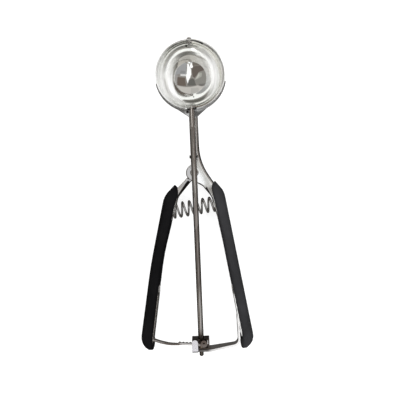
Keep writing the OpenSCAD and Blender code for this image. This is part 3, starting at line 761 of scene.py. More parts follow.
@dataclass(frozen=True)
class BowlFinish:
    """Mirror polish with a soft haze of wear where the blade and the ice rub it.

    Args:
        name: Name of the material.
        colour: Colour of the mirror.
        worn: Colour of the haze.
        rings: Pairs of a distance from the worn oval's middle, in parts of its size, and the haze there.
        middle: Middle of the oval that stays clean.
        oval: Its half width and half length, in millimetres.
        mirror: Roughness of the mirror.
        satin: Roughness of the full haze.
        depth: Depth of the scratches in millimetres.
        cover: Share of the mirror that the full haze covers.
        side: Direction along which the haze is stronger, on both sides.
        weak: Share of the haze that is left across that direction.
        streaks: Fineness of the haze's streaks, outwards and round the bowl.
        shade_spots: Patches of painted shade at the rim, in the notch's corners and under the blade, which
            run down the wall.
        shade_sink: Factor on depths that draws that painted shade out along Z.
    """

    name: str
    colour: tuple[float, float, float]
    worn: tuple[float, float, float]
    rings: tuple[tuple[float, float], ...]
    middle: tuple[float, float] = (1.1, 3.0)
    oval: tuple[float, float] = (15.0, 18.9)
    mirror: float = 0.045
    satin: float = 0.22
    depth: float = 0.002
    cover: float = 0.93
    side: tuple[float, float, float] = (-0.966, -0.259, 0.0)
    weak: float = 0.06
    streaks: tuple[float, float] = (26.0, 1.1)
    shade_spots: tuple[ShadeSpot, ...] = ()
    shade_sink: float = 0.35

    def build(self) -> bpy.types.Material:
        """Makes the material.

        Returns:
            A metal whose colour, roughness and bump follow the haze and the marks of use, with patches of
            painted shade in its colour.
        """
        material, shader = new_material(self.name)
        tree = material.node_tree
        place = object_coordinates(tree)
        haze = self.haze(tree, place)
        marks = use_group(tree, SCRATCHES, {"Vector": place, "Scale": 520.0, "Crossing": 0.6})
        polished = two_tone(tree, haze, self.colour, self.worn)
        colour = with_painted_shade(tree, place, self.shade_spots, polished, self.shade_sink)
        tree.links.new(colour, shader.inputs["Base Color"])
        tree.links.new(calculate(tree, "MULTIPLY_ADD", haze, -self.cover, 1.0), shader.inputs["Metallic"])
        give_surface(tree, shader, haze, (self.mirror, self.satin), marks.outputs["Height"], self.depth)
        return material

    def haze(self, tree: bpy.types.NodeTree, place: bpy.types.NodeSocket) -> bpy.types.NodeSocket:
        """The mask of the haze.

        Args:
            tree: The material's tree.
            place: Object coordinates.

        Returns:
            A value from 0, mirror, to 1, full haze.
        """
        reach = self.rings[-1][0]
        scale = (1 / (self.oval[0] * MM * reach), 1 / (self.oval[1] * MM * reach), 0.0)
        shift = (-self.middle[0] * MM * scale[0], -self.middle[1] * MM * scale[1], 0.0)
        away = vector_math(tree, "LENGTH", vector_math(tree, "MULTIPLY_ADD", place, scale, shift))
        ramp = put(tree, "ShaderNodeValToRGB", {0: away})
        ramp.color_ramp.interpolation = "EASE"
        stops = ramp.color_ramp.elements
        while len(stops) < len(self.rings):
            stops.new(0.5)
        for stop, (distance, _) in zip(stops, self.rings):
            stop.position = distance / reach
        for stop, (_, share) in zip(stops, self.rings):
            stop.color = (share, share, share, 1.0)
        heading = vector_math(tree, "NORMALIZE", vector_math(tree, "MULTIPLY", place, (1.0, 1.0, 0.0)))
        along = vector_math(tree, "DOT_PRODUCT", heading, self.side)
        turned = ranged(tree, calculate(tree, "POWER", along, 2.0), low=self.weak)
        round_bowl = put(tree, "ShaderNodeCombineXYZ", {0: away, 1: along})
        drawn = put(tree, "ShaderNodeMapping", {"Vector": round_bowl.outputs[0],
                                                "Scale": (*self.streaks, 1.0)})
        uneven = ranged(tree, noise(tree, drawn.outputs[0], 1.0, 4.0, 0.6), 0.32, 0.6, 0.6, 1.0)
        return calculate(tree, "MULTIPLY", calculate(tree, "MULTIPLY", ramp.outputs[0], turned), uneven)


@dataclass(frozen=True)
class RubberFinish:
    """Soft matte rubber with a fine moulded grain.

    Args:
        name: Name of the material.
        colour: Colour in the grain's pits.
        worn: Colour on its raised parts.
        roughness: Roughness of the pits and of the raised parts.
        grain_scale: Fineness of the grain, per metre.
        depth: Depth of the grain in millimetres.
        gloss: Level of its reflection.
    """

    name: str
    colour: tuple[float, float, float]
    worn: tuple[float, float, float]
    roughness: tuple[float, float]
    grain_scale: float = 1400.0
    depth: float = 0.05
    gloss: float = 0.35

    def build(self) -> bpy.types.Material:
        """Makes the material.

        Returns:
            A dark, soft surface with a grain and faint wear.
        """
        material, shader = new_material(self.name)
        tree = material.node_tree
        place = object_coordinates(tree)
        cells = put(tree, "ShaderNodeTexVoronoi", {"Vector": place, "Scale": self.grain_scale})
        specks = noise(tree, place, self.grain_scale * 1.7, 6.0, 0.6)
        grain = calculate(tree, "ADD", cells.outputs["Distance"], specks)
        handled = use_group(tree, SMUDGES, {"Vector": place, "Scale": 45.0, "Contrast": 0.8})
        mask = calculate(tree, "MULTIPLY", handled.outputs["Mask"], specks)
        tree.links.new(two_tone(tree, mask, self.colour, self.worn), shader.inputs["Base Color"])
        give_surface(tree, shader, mask, self.roughness, grain, self.depth, 0.8)
        shader.inputs["Specular IOR Level"].default_value = self.gloss
        return material


# ---------- Finishes of this scoop ----------


# Painted shade: in the notch's corners beside the shaft, and under the blade along the rim by its pivot.
NOTCH_PAINTED_SHADE = (ShadeSpot((-2.4, -25.0, -1.2), 1.3), ShadeSpot((2.5, -24.7, -1.2), 1.3))
PIVOT_PAINTED_SHADE = (ShadeSpot((-2.3, 23.3, -8.4), 0.7), *shade_spot_row((1.8, 24.05, -2.0), (5.7, 23.45, -2.0), 0.7),
               *shade_spot_row((6.1, 23.3, -2.0), (9.6, 22.1, -2.2), 0.65))
HAZE_RINGS = ((0.0, 0.0), (0.93, 0.0), (1.04, 0.95), (1.2, 1.0), (1.34, 0.55), (1.5, 0.85), (1.68, 0.6))
BOWL_MIRROR = BowlFinish("bowl_mirror_steel", (0.90, 0.905, 0.88), (0.96, 0.96, 0.96), HAZE_RINGS,
                         shade_spots=(*NOTCH_PAINTED_SHADE, *PIVOT_PAINTED_SHADE))
# Painted shade in the gap where the lever's strap enters the hinge's ear, and along the strap's inner edge.
STRAP_PAINTED_SHADE = (*shade_spot_row((-4.7, -76.4, -8.2), (-12.3, -87.2, -5.6), 1.4), ShadeSpot((-5.9, -72.8, -7.6), 0.9),
               ShadeSpot((-4.5, -73.7, -7.6), 0.9))
# Painted shade inside the frame channel, along the flange's lower edge by the spring's end.
FLANGE_PAINTED_SHADE = shade_spot_row((8.2, -81.4, -5.9), (12.4, -89.5, -4.3), 0.75)
# The blade's dark spot is painted shade in the gap by its pivot.
BLADE_STEEL = SteelFinish("scraper_blade_steel", (0.88, 0.87, 0.84), (0.74, 0.72, 0.68), (0.10, 0.20),
                          grain_scale=700.0, depth=0.003, crossing=0.6,
                          shade_spots=(ShadeSpot((-1.9, 22.4, -0.6), 1.3),))
PRESSED_STEEL = SteelFinish("pressed_steel", (0.88, 0.875, 0.86), (0.70, 0.69, 0.67), (0.14, 0.26),
                            grain=Grain.ALONG_Y, grain_scale=1200.0, depth=0.005)
# The frame's web and outer bend, between the flanges' levels and up to the grip, are darkened with painted
# shade; the rest keeps the steel's own colour.
FRAME_STEEL = replace(PRESSED_STEEL, name="pressed_frame_steel",
                      tints=(LevelTint(Axis.Z, -6.65, -7.3, PAINTED_BEND_SHADE), LevelTint(Axis.Z, -17.4, -18.1, UNSHADED_STEEL),
                              LevelTint(Axis.Y, -97, -103, UNSHADED_STEEL)),
                      shade_spots=FLANGE_PAINTED_SHADE)
LEVER_STEEL = replace(PRESSED_STEEL, name="pressed_lever_steel", shade_spots=STRAP_PAINTED_SHADE)
# The cradle's dark spot is painted shade under the notch.
CRADLE_STEEL = SteelFinish("cradle_steel", (0.40, 0.40, 0.40), (0.26, 0.26, 0.26), (0.24, 0.36),
                           grain_scale=1400.0, depth=0.008, shade_spots=(ShadeSpot((-3.2, -25.8, -5.6), 1.2),))
CLIP_STEEL = SteelFinish("guide_clip_steel", (0.16, 0.155, 0.15), (0.08, 0.08, 0.08), (0.35, 0.50),
                         grain_scale=1400.0, depth=0.01)
# Along the shaft: darker from the hinge on and a little lighter again from -150 mm; near black from -181 mm,
# painted shade where it runs in under the gear box's top plate. Its two spots are painted shade in the notch
# beside it.
SHAFT_STEEL = SteelFinish("drawn_shaft_steel", (0.72, 0.69, 0.66), (0.40, 0.36, 0.33), (0.06, 0.15),
                          grain=Grain.ALONG_Y, grain_scale=2600.0, depth=0.004, evenness=0.8,
                          tints=(LevelTint(Axis.Y, -75, -95, (0.30, 0.27, 0.255)),
                                  LevelTint(Axis.Y, -150, -165, (0.66, 0.63, 0.60)),
                                  LevelTint(Axis.Y, -181, -186, (0.12, 0.10, 0.08))),
                          shade_spots=(ShadeSpot((-2.0, -25.2, -2.4), 1.0), ShadeSpot((2.0, -24.8, -2.4), 1.0)))
# The bearing strip is near black where it runs into the gear box: painted shade.
STRIP_STEEL = SteelFinish("bent_strip_steel", (0.88, 0.87, 0.86), (0.66, 0.65, 0.64), (0.14, 0.28),
                          grain=Grain.ALONG_X, grain_scale=1400.0, depth=0.006,
                          tints=(LevelTint(Axis.X, 7.5, 4.5, (0.05, 0.042, 0.035)),))
# The rack's eye inside the gear box is darkened with painted shade.
RACK_STEEL = SteelFinish("rack_strip_steel", (0.80, 0.78, 0.76), (0.52, 0.48, 0.45), (0.16, 0.30),
                         grain=Grain.ALONG_X, grain_scale=1400.0, depth=0.006,
                         tints=(LevelTint(Axis.X, -2.5, -0.5, (0.11, 0.085, 0.07)),))
# Dark brown steel of the pinion and its pin.
GEAR_STEEL = SteelFinish("dark_brown_gear_steel", (0.30, 0.25, 0.19), (0.14, 0.11, 0.08), (0.30, 0.45),
                         grain_scale=1600.0, depth=0.012)
# The box's top plate, its inside and its part right of x = -0.4 mm are near black with painted shade; its row
# of spots is painted shade along the lug's lower edge.
BOX_STEEL = SteelFinish("gear_box_steel", (0.90, 0.89, 0.92), (0.78, 0.76, 0.80), (0.20, 0.32),
                        grain_scale=1500.0, depth=0.006,
                        tints=(LevelTint(Axis.Z, 4.6, 4.2, PAINTED_BOX_SHADE), LevelTint(Axis.X, -1.2, -0.4, PAINTED_BOX_SHADE)),
                        shade_spots=tuple(ShadeSpot((x, -196.5, 5.2), 1.3) for x in (-6.4, -5.4, -4.4, -3.4, -2.4)))
WIRE_STEEL = SteelFinish("spring_wire_steel", (0.76, 0.75, 0.74), (0.46, 0.45, 0.44), (0.08, 0.20),
                         grain_scale=2200.0, depth=0.005, evenness=0.4)
RIVET_STEEL = SteelFinish("rivet_steel", (0.66, 0.65, 0.63), (0.46, 0.45, 0.43), (0.18, 0.30),
                          grain_scale=1800.0, depth=0.008)
# One rubber in a lighter and a darker copy: the right grip's lighter copy is painted light, the left grip's
# darker, duller copy painted shade, for how the lamps fall on them.
SHADED_SIDE_RUBBER = RubberFinish("shaded_side_grip_rubber", (0.002, 0.002, 0.0025), (0.007, 0.0065, 0.007),
                           (0.62, 0.50), gloss=0.12)
LIT_SIDE_RUBBER = RubberFinish("lit_side_grip_rubber", (0.012, 0.012, 0.0135), (0.028, 0.028, 0.032), (0.60, 0.48))


def dress(piece: bpy.types.Object, finish: bpy.types.Material, body: Body,
          replaced: Sequence[str] = ()) -> None:
    """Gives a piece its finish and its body.

    Args:
        piece: The piece.
        finish: Its material.
        body: The body that it moves with.
        replaced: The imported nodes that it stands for.
    """
    piece.data.materials.clear()
    piece.data.materials.append(finish)
    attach(piece, body.value)
    if replaced:
        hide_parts(*replaced)
    log.info("%s: %d faces", piece.name, len(piece.data.polygons))


def dress_node(node: str, finish: bpy.types.Material) -> None:
    """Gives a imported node's own mesh a finish.

    Args:
        node: Name of the node.
        finish: Its material.
    """
    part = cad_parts[node]
    part.data.materials.clear()
    part.data.materials.append(finish)
    log.info("%s: kept, with %s", node, finish.name)


# ---------- Bowl, cradle and pivot ----------


@dataclass
class Bowl:
    """The bowl with its notch, its cradle and the pivot of the blade.

    Args:
        wall: Thickness of the bowl's wall.
        axis_depth: Depth of the sphere's centre below the rim.
        rim_round: Rounding of the rim's edges.
        notch_half: Half of the notch's width.
        notch_span: Where the tool that cuts the notch starts and ends along the scoop.
        notch_top: How far that tool stands above the rim.
        cuts: Divisions of each side of the ball that the bowl is made from.
        rows: Rows of faces up its straight collar.
        hole: Radius of the pivot's hole.
        hole_span: Where the tool that cuts the hole starts and ends along the scoop.
        shank: Radius of the rivet's shank.
        seat: Radius of the rivet's inner head.
        cradle_rounding: Rounding of the cradle's edges.
    """

    wall: float = 0.8
    axis_depth: float = 2.6
    rim_round: float = 0.22
    notch_half: float = 2.4
    notch_span: tuple[float, float] = (-36.0, -12.0)
    notch_top: float = 3.0
    cuts: int = 63
    rows: int = 4
    hole: float = 0.91
    hole_span: tuple[float, float] = (20.5, 28.5)
    shank: float = 0.9
    seat: float = 1.5
    cradle_rounding: float = 0.18

    def build(self, mirror: bpy.types.Material, plain: bpy.types.Material, rivet: bpy.types.Material) -> None:
        """Builds and dresses the bowl's pieces.

        Args:
            mirror: Finish of the bowl.
            plain: Finish of the cradle.
            rivet: Finish of the pivot.
        """
        dress(self.shell(), mirror, Body.FRAME, ["bowl"])
        cradle = eased_copy("bowl_cradle", "bowl_cradle_band", self.cradle_rounding, 0.2)
        dress(cradle, plain, Body.FRAME, ["bowl_cradle"])
        dress(self.pivot(), rivet, Body.FRAME, ["blade_pivot"])

    def shell(self) -> bpy.types.Object:
        """Half a ball with a straight collar, a wall, a rounded rim, a notch and the pivot's hole.

        Returns:
            The bowl.
        """
        low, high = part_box("bowl")
        radius = (high.x - low.x) / 2
        depth = self.axis_depth * MM
        deselect_all()
        bpy.ops.mesh.primitive_cube_add(size=1)
        piece = bpy.context.active_object
        piece.name = "bowl_shell"
        with edit_mode(piece, "VERT"):
            bpy.ops.mesh.select_all(action="SELECT")
            bpy.ops.mesh.subdivide(number_cuts=self.cuts)
            bpy.ops.mesh.bisect(plane_co=(0, 0, 0), plane_no=(0, 0, 1), clear_outer=True)
            mesh = bmesh.from_edit_mesh(piece.data)
            for vertex in mesh.verts:
                corner = Vector(math.tan(c * math.pi / 2) for c in vertex.co)
                vertex.co = corner.normalized() * radius + Vector((0, 0, -depth))
            bmesh.update_edit_mesh(piece.data)
            bpy.ops.mesh.select_all(action="DESELECT")
            bpy.ops.mesh.select_mode(type="EDGE")
            choose(piece, mesh, [edge for edge in mesh.edges if edge.is_boundary])
            for _ in range(self.rows):
                bpy.ops.mesh.extrude_region_move(TRANSFORM_OT_translate={"value": (0, 0, depth / self.rows)})
        apply_modifier(piece, "SOLIDIFY", thickness=self.wall * MM, offset=-1, use_even_offset=True)
        rim = [edge.index for edge in piece.data.edges
               if all(piece.data.vertices[i].co.z > -0.01 * MM for i in edge.vertices)]
        self.round_rim(piece, set(rim))
        self.cut(piece, self.notch_tool())
        self.cut(piece, self.rod_tool(self.hole * MM, self.hole_span, 32))
        shade(piece, 30)
        return piece

    def round_rim(self, piece: bpy.types.Object, rim: set[int]) -> None:
        """Rounds the two circles of the rim.

        Args:
            piece: The bowl.
            rim: Indices of the edges on the rim's plane.
        """
        with edit_mode(piece, "EDGE") as mesh:
            mesh.edges.ensure_lookup_table()
            circles = [mesh.edges[i] for i in rim if mesh.edges[i].calc_face_angle(0) > BEND_ANGLE]
            choose(piece, mesh, circles)
            bpy.ops.mesh.bevel(offset=self.rim_round * MM, segments=3, affect="EDGES")

    def notch_tool(self) -> bpy.types.Object:
        """The solid that cuts the notch: a slot with a round bottom at the near side of the rim.

        Returns:
            The tool.
        """
        half = self.notch_half * MM
        tool = self.rod_tool(half, self.notch_span, 48)
        with edit_mode(tool, "VERT") as mesh:
            # The rod's upper half is drawn up past the rim, with upright sides.
            for vertex in mesh.verts:
                if vertex.co.z > -self.axis_depth * MM + half * 0.05:
                    vertex.co.z = self.notch_top * MM
                    vertex.co.x = math.copysign(half, vertex.co.x) if abs(vertex.co.x) > half * 0.02 else 0.0
            bpy.ops.mesh.select_all(action="SELECT")
            bpy.ops.mesh.remove_doubles(threshold=0.01 * MM)
            bpy.ops.mesh.normals_make_consistent(inside=False)
        return tool

    def rod_tool(self, radius: float, span: tuple[float, float], sides: int) -> bpy.types.Object:
        """A rod along Y at the depth of the shaft's axis, to cut with.

        Args:
            radius: Its radius in metres.
            span: Where it starts and ends, in millimetres.
            sides: Points round it.

        Returns:
            The rod.
        """
        start, end = span
        deselect_all()
        bpy.ops.mesh.primitive_cylinder_add(vertices=sides, radius=radius, depth=(end - start) * MM,
                                            rotation=(math.radians(90), 0, 0),
                                            location=(0, (start + end) / 2 * MM, -self.axis_depth * MM))
        tool = bpy.context.active_object
        settle(tool)
        return tool

    def cut(self, piece: bpy.types.Object, tool: bpy.types.Object) -> None:
        """Cuts a tool out of a piece and removes the tool.

        Args:
            piece: The piece.
            tool: The solid to cut with.
        """
        apply_modifier(piece, "BOOLEAN", object=tool, operation="DIFFERENCE", solver="EXACT")
        bpy.data.objects.remove(tool)

    def pivot(self) -> bpy.types.Object:
        """The rivet at the far side, with a domed head outside and a flat one inside.

        Returns:
            The rivet.
        """
        low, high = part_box("blade_pivot")
        centre = ((low.x + high.x) / 2 / MM, 0.0, (low.z + high.z) / 2 / MM)
        inner, outer = low.y / MM, high.y / MM
        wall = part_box("bowl")[1].y / MM
        head = (high.x - low.x) / 2 / MM
        return Turning("pivot_rivet", (
            (inner, self.seat - 0.2), (inner + 0.12, self.seat), (inner + 0.6, self.seat),
            (inner + 0.7, self.seat - 0.12), (inner + 0.72, self.shank), (wall, self.shank),
            *domed(wall + 0.01, outer, head),
        ), centre, sides=40).build()


# ---------- Pressed channels ----------


@dataclass(frozen=True)
class EdgePoint:
    """A point of a flange's free edge, in millimetres.

    Args:
        y: Its place along the scoop.
        x: Where the flanges end.
        front: Level of the front flange's outer face.
        back: Level of the back flange's outer face.
    """

    y: float
    x: float
    front: float
    back: float


@dataclass(frozen=True)
class HandleEdge:
    """The stretch of a handle where the grip's rolled lips hide the edges of the channel's flanges.

    Args:
        node: Name of the channel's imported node.
        outward: Side of the channel's web, 1 for right and -1 for left.
        top: Where the lips start along the scoop, in millimetres.
        foot: Where they end.
        fade: Length over which they grow and fade.
        step: Distance between the points.
        probe: Distance between the rays that look for the edge.
        reach: First and last ray, counted from the scoop's middle.
        levels: Where the rays start, in front of the channel and behind it.
    """

    node: str
    outward: int
    top: float
    foot: float
    fade: float = 9.0
    step: float = 1.5
    probe: float = 0.1
    reach: tuple[int, int] = (80, 500)
    levels: tuple[float, float] = (40.0, -80.0)

    def share(self, y: float) -> float:
        """How fully the lips are formed at a place along the scoop, from 0 to 1."""
        return max(0.0, min(1.0, (self.top - y) / self.fade, (y - self.foot) / self.fade))

    def points(self) -> list[EdgePoint]:
        """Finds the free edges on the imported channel.

        Returns:
            Points from the top to the foot.
        """
        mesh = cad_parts[self.node].data
        tree = BVHTree.FromPolygons([vertex.co for vertex in mesh.vertices],
                                    [face.vertices for face in mesh.polygons])
        found = []
        for i in range(int((self.top - self.foot) / self.step) + 1):
            y = self.top - i * self.step
            for j in range(*self.reach):
                x = self.outward * self.probe * j
                front = tree.ray_cast(Vector((x, y, self.levels[0])) * MM, Vector((0, 0, -1)))[0]
                if front is not None:
                    back = tree.ray_cast(Vector((x, y, self.levels[1])) * MM, Vector((0, 0, 1)))[0]
                    found.append(EdgePoint(y, x, front.z / MM, back.z / MM))
                    break
        return found


@dataclass
class PressedChannel:
    """A handle's steel channel with its web bent over into two flanges.

    Args:
        node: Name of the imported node.
        name: Name of the new piece.
        body: The body that it belongs to.
        outward: Side of the web, 1 for right and -1 for left.
        edge: Where the grip's lips hide the flanges' edges.
        bend: Radius of the outer bends.
        inner_bend: Radius of the bends inside the channel.
        lip: Rounding of the front flange's free edge.
        tuck: How far those edges lie back under the lips.
        rounding: Rounding of the other edges.
        shortest: Shortest edge that is bent.
        clear: How far the bends keep clear of the near and of the far end.
        near: How close to the flanges' edges a point is drawn back with them.
        cut_every: Points of the edge from one cut across the flanges to the next.
    """

    node: str
    name: str
    body: Body
    outward: int
    edge: HandleEdge
    bend: float
    inner_bend: float
    lip: float
    tuck: float = 0.95
    rounding: float = 0.14
    shortest: float = 0.3
    clear: tuple[float, float] = (2.0, 3.0)
    near: float = 0.6
    cut_every: int = 3

    def is_bend(self, edge: bmesh.types.BMEdge, outer: bool) -> bool:
        """Whether an edge lies where the web turns into a flange.

        Args:
            edge: The edge.
            outer: True for the bend's outside, False for its inside.

        Returns:
            Whether the edge is one of them.
        """
        if len(edge.link_faces) != 2 or edge.calc_face_angle(0) < BEND_ANGLE or edge.is_convex != outer:
            return False
        web, flange = sorted((face.normal for face in edge.link_faces), key=lambda normal: abs(normal.z))
        side = web.x * self.outward * (1 if outer else -1)
        long_enough = edge.calc_length() > self.shortest * MM
        turns = abs(flange.z) > LEVEL_FACE and abs(web.z) < UPRIGHT_FACE and side > SIDE_FACE
        return long_enough and turns

    def is_lip(self, edge: bmesh.types.BMEdge) -> bool:
        """Whether an edge is the free edge of the front flange, on its front side.

        Args:
            edge: The edge.

        Returns:
            Whether the edge is one of them.
        """
        if len(edge.link_faces) != 2 or not edge.is_convex or edge.calc_face_angle(0) < BEND_ANGLE:
            return False
        side, flange = sorted((face.normal for face in edge.link_faces), key=lambda normal: normal.z)
        inward = -side.x * self.outward
        return flange.z > LEVEL_FACE and abs(side.z) < UPRIGHT_FACE and inward > SIDE_FACE

    def tuck_edges(self, piece: bpy.types.Object) -> None:
        """Draws the flanges' free edges back under the grip's lips.

        Args:
            piece: The channel.
        """
        points = self.edge.points()
        with edit_mode(piece, "VERT") as mesh:
            for point in points[::self.cut_every]:
                everything = [*mesh.verts, *mesh.edges, *mesh.faces]
                bmesh.ops.bisect_plane(mesh, geom=everything, plane_co=Vector((0, point.y, 0)) * MM,
                                       plane_no=(0, 1, 0), dist=0.002 * MM)
            for vertex in mesh.verts:
                y = vertex.co.y / MM
                nearest = min(points, key=lambda point: abs(point.y - y))
                share = self.edge.share(y)
                if share > 0 and abs(vertex.co.x / MM - nearest.x) < self.near:
                    vertex.co.x += self.outward * self.tuck * share * MM
            bmesh.update_edit_mesh(piece.data)

    def build(self, finish: bpy.types.Material) -> None:
        """Builds and dresses the channel.

        Args:
            finish: Its steel.
        """
        piece = merged_copy(self.node, self.name)
        self.tuck_edges(piece)
        low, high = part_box(self.node)
        start, end = low.y + self.clear[0] * MM, high.y - self.clear[1] * MM

        def inside(edge: bmesh.types.BMEdge) -> bool:
            """Whether an edge keeps clear of the channel's ends."""
            return all(start < vertex.co.y < end for vertex in edge.verts)

        outer = bend_edges(piece, lambda edge: inside(edge) and self.is_bend(edge, True), self.bend)
        inner = bend_edges(piece, lambda edge: inside(edge) and self.is_bend(edge, False), self.inner_bend, 3)
        lips = bend_edges(piece, lambda edge: inside(edge) and self.is_lip(edge), self.lip, 4)
        round_edges(piece, self.rounding)
        shade(piece, 32)
        log.info("%s: %d outer, %d inner and %d lip edges", self.name, outer, inner, lips)
        dress(piece, finish, self.body, [self.node])


# ---------- Grips ----------


@dataclass
class Grip:
    """A soft grip that is pulled over a handle's channel.

    Args:
        node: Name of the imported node.
        name: Name of the new piece.
        body: The body that it belongs to.
        edge: The flanges' edges that its rolled lips hide.
        lip: Radius of the lips.
        gap: Distance from the flanges' edges to the lips.
        sunk: How deep the lips' middles lie under the flanges' faces.
        thinnest: Share of the lips' radius that is left at their ends.
        voxel: Size of the cells that its surface is rebuilt from.
        softening: Passes that round its lips.
    """

    node: str
    name: str
    body: Body
    edge: HandleEdge
    lip: float = 1.0
    gap: float = 0.3
    sunk: float = 0.4
    thinnest: float = 0.25
    voxel: float = 0.42
    softening: int = 8

    def roll_lip(self, points: Sequence[EdgePoint], front: bool) -> bpy.types.Object:
        """A round bead along one flange's edge.

        Args:
            points: The flanges' edges.
            front: Whether it lies on the front flange.

        Returns:
            The bead, as a mesh of its own.
        """
        across = self.edge.outward * (self.lip + self.gap)
        line = []
        for point in points:
            level = point.front - self.sunk if front else point.back + self.sunk
            middle = Vector((point.x + across, point.y, level)) * MM
            line.append((middle, max(self.edge.share(point.y), self.thinnest)))
        return tube("grip_lip", line, self.lip, 3)

    def build(self, finish: bpy.types.Material) -> None:
        """Builds and dresses the grip.

        Args:
            finish: Its rubber.
        """
        piece = merged_copy(self.node, self.name, 0.05)
        points = self.edge.points()
        beads = [self.roll_lip(points, front) for front in (True, False)]
        activate(piece)
        for bead in beads:
            bead.select_set(True)
        bpy.ops.object.join()
        apply_modifier(piece, "REMESH", mode="VOXEL", voxel_size=self.voxel * MM, adaptivity=0.0,
                       use_smooth_shade=True)
        apply_modifier(piece, "SMOOTH", factor=0.5, iterations=self.softening)
        activate(piece)
        bpy.ops.object.shade_smooth()
        dress(piece, finish, self.body, [self.node])


# ---------- Hinge ----------


@dataclass
class Hinge:
    """The rivet of the handles' hinge and the spacer on it.

    Args:
        pin_radius: Radius of the rivet's shank.
        head_height: Height of its domed heads.
    """

    pin_radius: float = 1.5
    head_height: float = 1.2

    def build(self, finish: bpy.types.Material) -> None:
        """Builds and dresses the rivet.

        Args:
            finish: Its steel.
        """
        low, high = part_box("hinge_pin")
        bottom, top = low.z / MM, high.z / MM
        head = (high.x - low.x) / 2 / MM
        centre = ((low.x + high.x) / 2 / MM, (low.y + high.y) / 2 / MM, 0.0)
        front = domed(top - self.head_height, top, head)
        back = tuple((bottom + top - along, radius) for along, radius in reversed(front))
        shank = ((back[-1][0] + 0.01, self.pin_radius), (front[0][0] - 0.01, self.pin_radius))
        piece = Turning("hinge_rivet", (*back, *shank, *front), centre, along=Axis.Z).build()
        shade(piece, 40)
        dress(piece, finish, Body.FRAME, ["hinge_pin"])
        dress_node("hinge_sleeve", finish)


# ---------- Spring ----------


@dataclass
class ReturnSpring:
    """The compression spring between the handles.

    Args:
        wire: Diameter of the wire.
        outer: Outer diameter of the spring.
        pitch: Pitch of its open turns.
        closed_pitch: Pitch of the closed turn at each end.
        phase: Angle at which the wire starts, in degrees.
        per_turn: Points of the wire's line in each turn.
    """

    wire: float = 1.6
    outer: float = 12.0
    pitch: float = 5.0
    closed_pitch: float = 1.68
    phase: float = 233.0
    per_turn: int = 40

    def ends(self) -> tuple[Vector, Vector]:
        """The centres of the seats' shoulders, left and right, between which the spring sits.

        Returns:
            Two points on the spring's axis.
        """
        middles = []
        for node in ("left_spring_seat", "right_spring_seat"):
            low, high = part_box(node)
            middles.append((low + high) / 2)
        axis = (middles[1] - middles[0]).normalized()
        points = [vertex.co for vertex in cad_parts["return_spring"].data.vertices]
        centre = sum(points, Vector()) / len(points)
        reach = [(point - centre).dot(axis) for point in points]
        return centre + axis * min(reach), centre + axis * max(reach)

    def line(self) -> list[Vector]:
        """Points along the middle of the wire.

        Returns:
            The points, from the left seat to the right one.
        """
        left, right = self.ends()
        axis = (right - left).normalized()
        side = Vector((-axis.y, axis.x, 0)).normalized()
        rise = axis.cross(side)
        length = (right - left).length / MM
        open_turns = (length - 2 * self.closed_pitch - self.wire) / self.pitch
        turns = open_turns + 2
        radius = (self.outer - self.wire) / 2
        points = []
        for i in range(int(turns * self.per_turn) + 1):
            turn = i / self.per_turn
            along = (self.wire / 2 + min(turn, 1) * self.closed_pitch
                     + max(0.0, min(turn - 1, open_turns)) * self.pitch
                     + max(0.0, turn - 1 - open_turns) * self.closed_pitch)
            angle = math.radians(self.phase + 360 * turn)
            place = axis * along + side * radius * math.cos(angle) + rise * radius * math.sin(angle)
            points.append(left + place * MM)
        return points

    def build(self, finish: bpy.types.Material) -> None:
        """Builds the wire and gives it its finish.

        Args:
            finish: Its steel.
        """
        piece = tube("return_spring_wire", [(point, 1.0) for point in self.line()], self.wire / 2, 4)
        shade(piece, 60)
        piece.data.materials.clear()
        piece.data.materials.append(finish)
        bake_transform(piece)
        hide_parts("return_spring")
        log.info("%s: %d faces", piece.name, len(piece.data.polygons))


# ---------- Scraper ----------


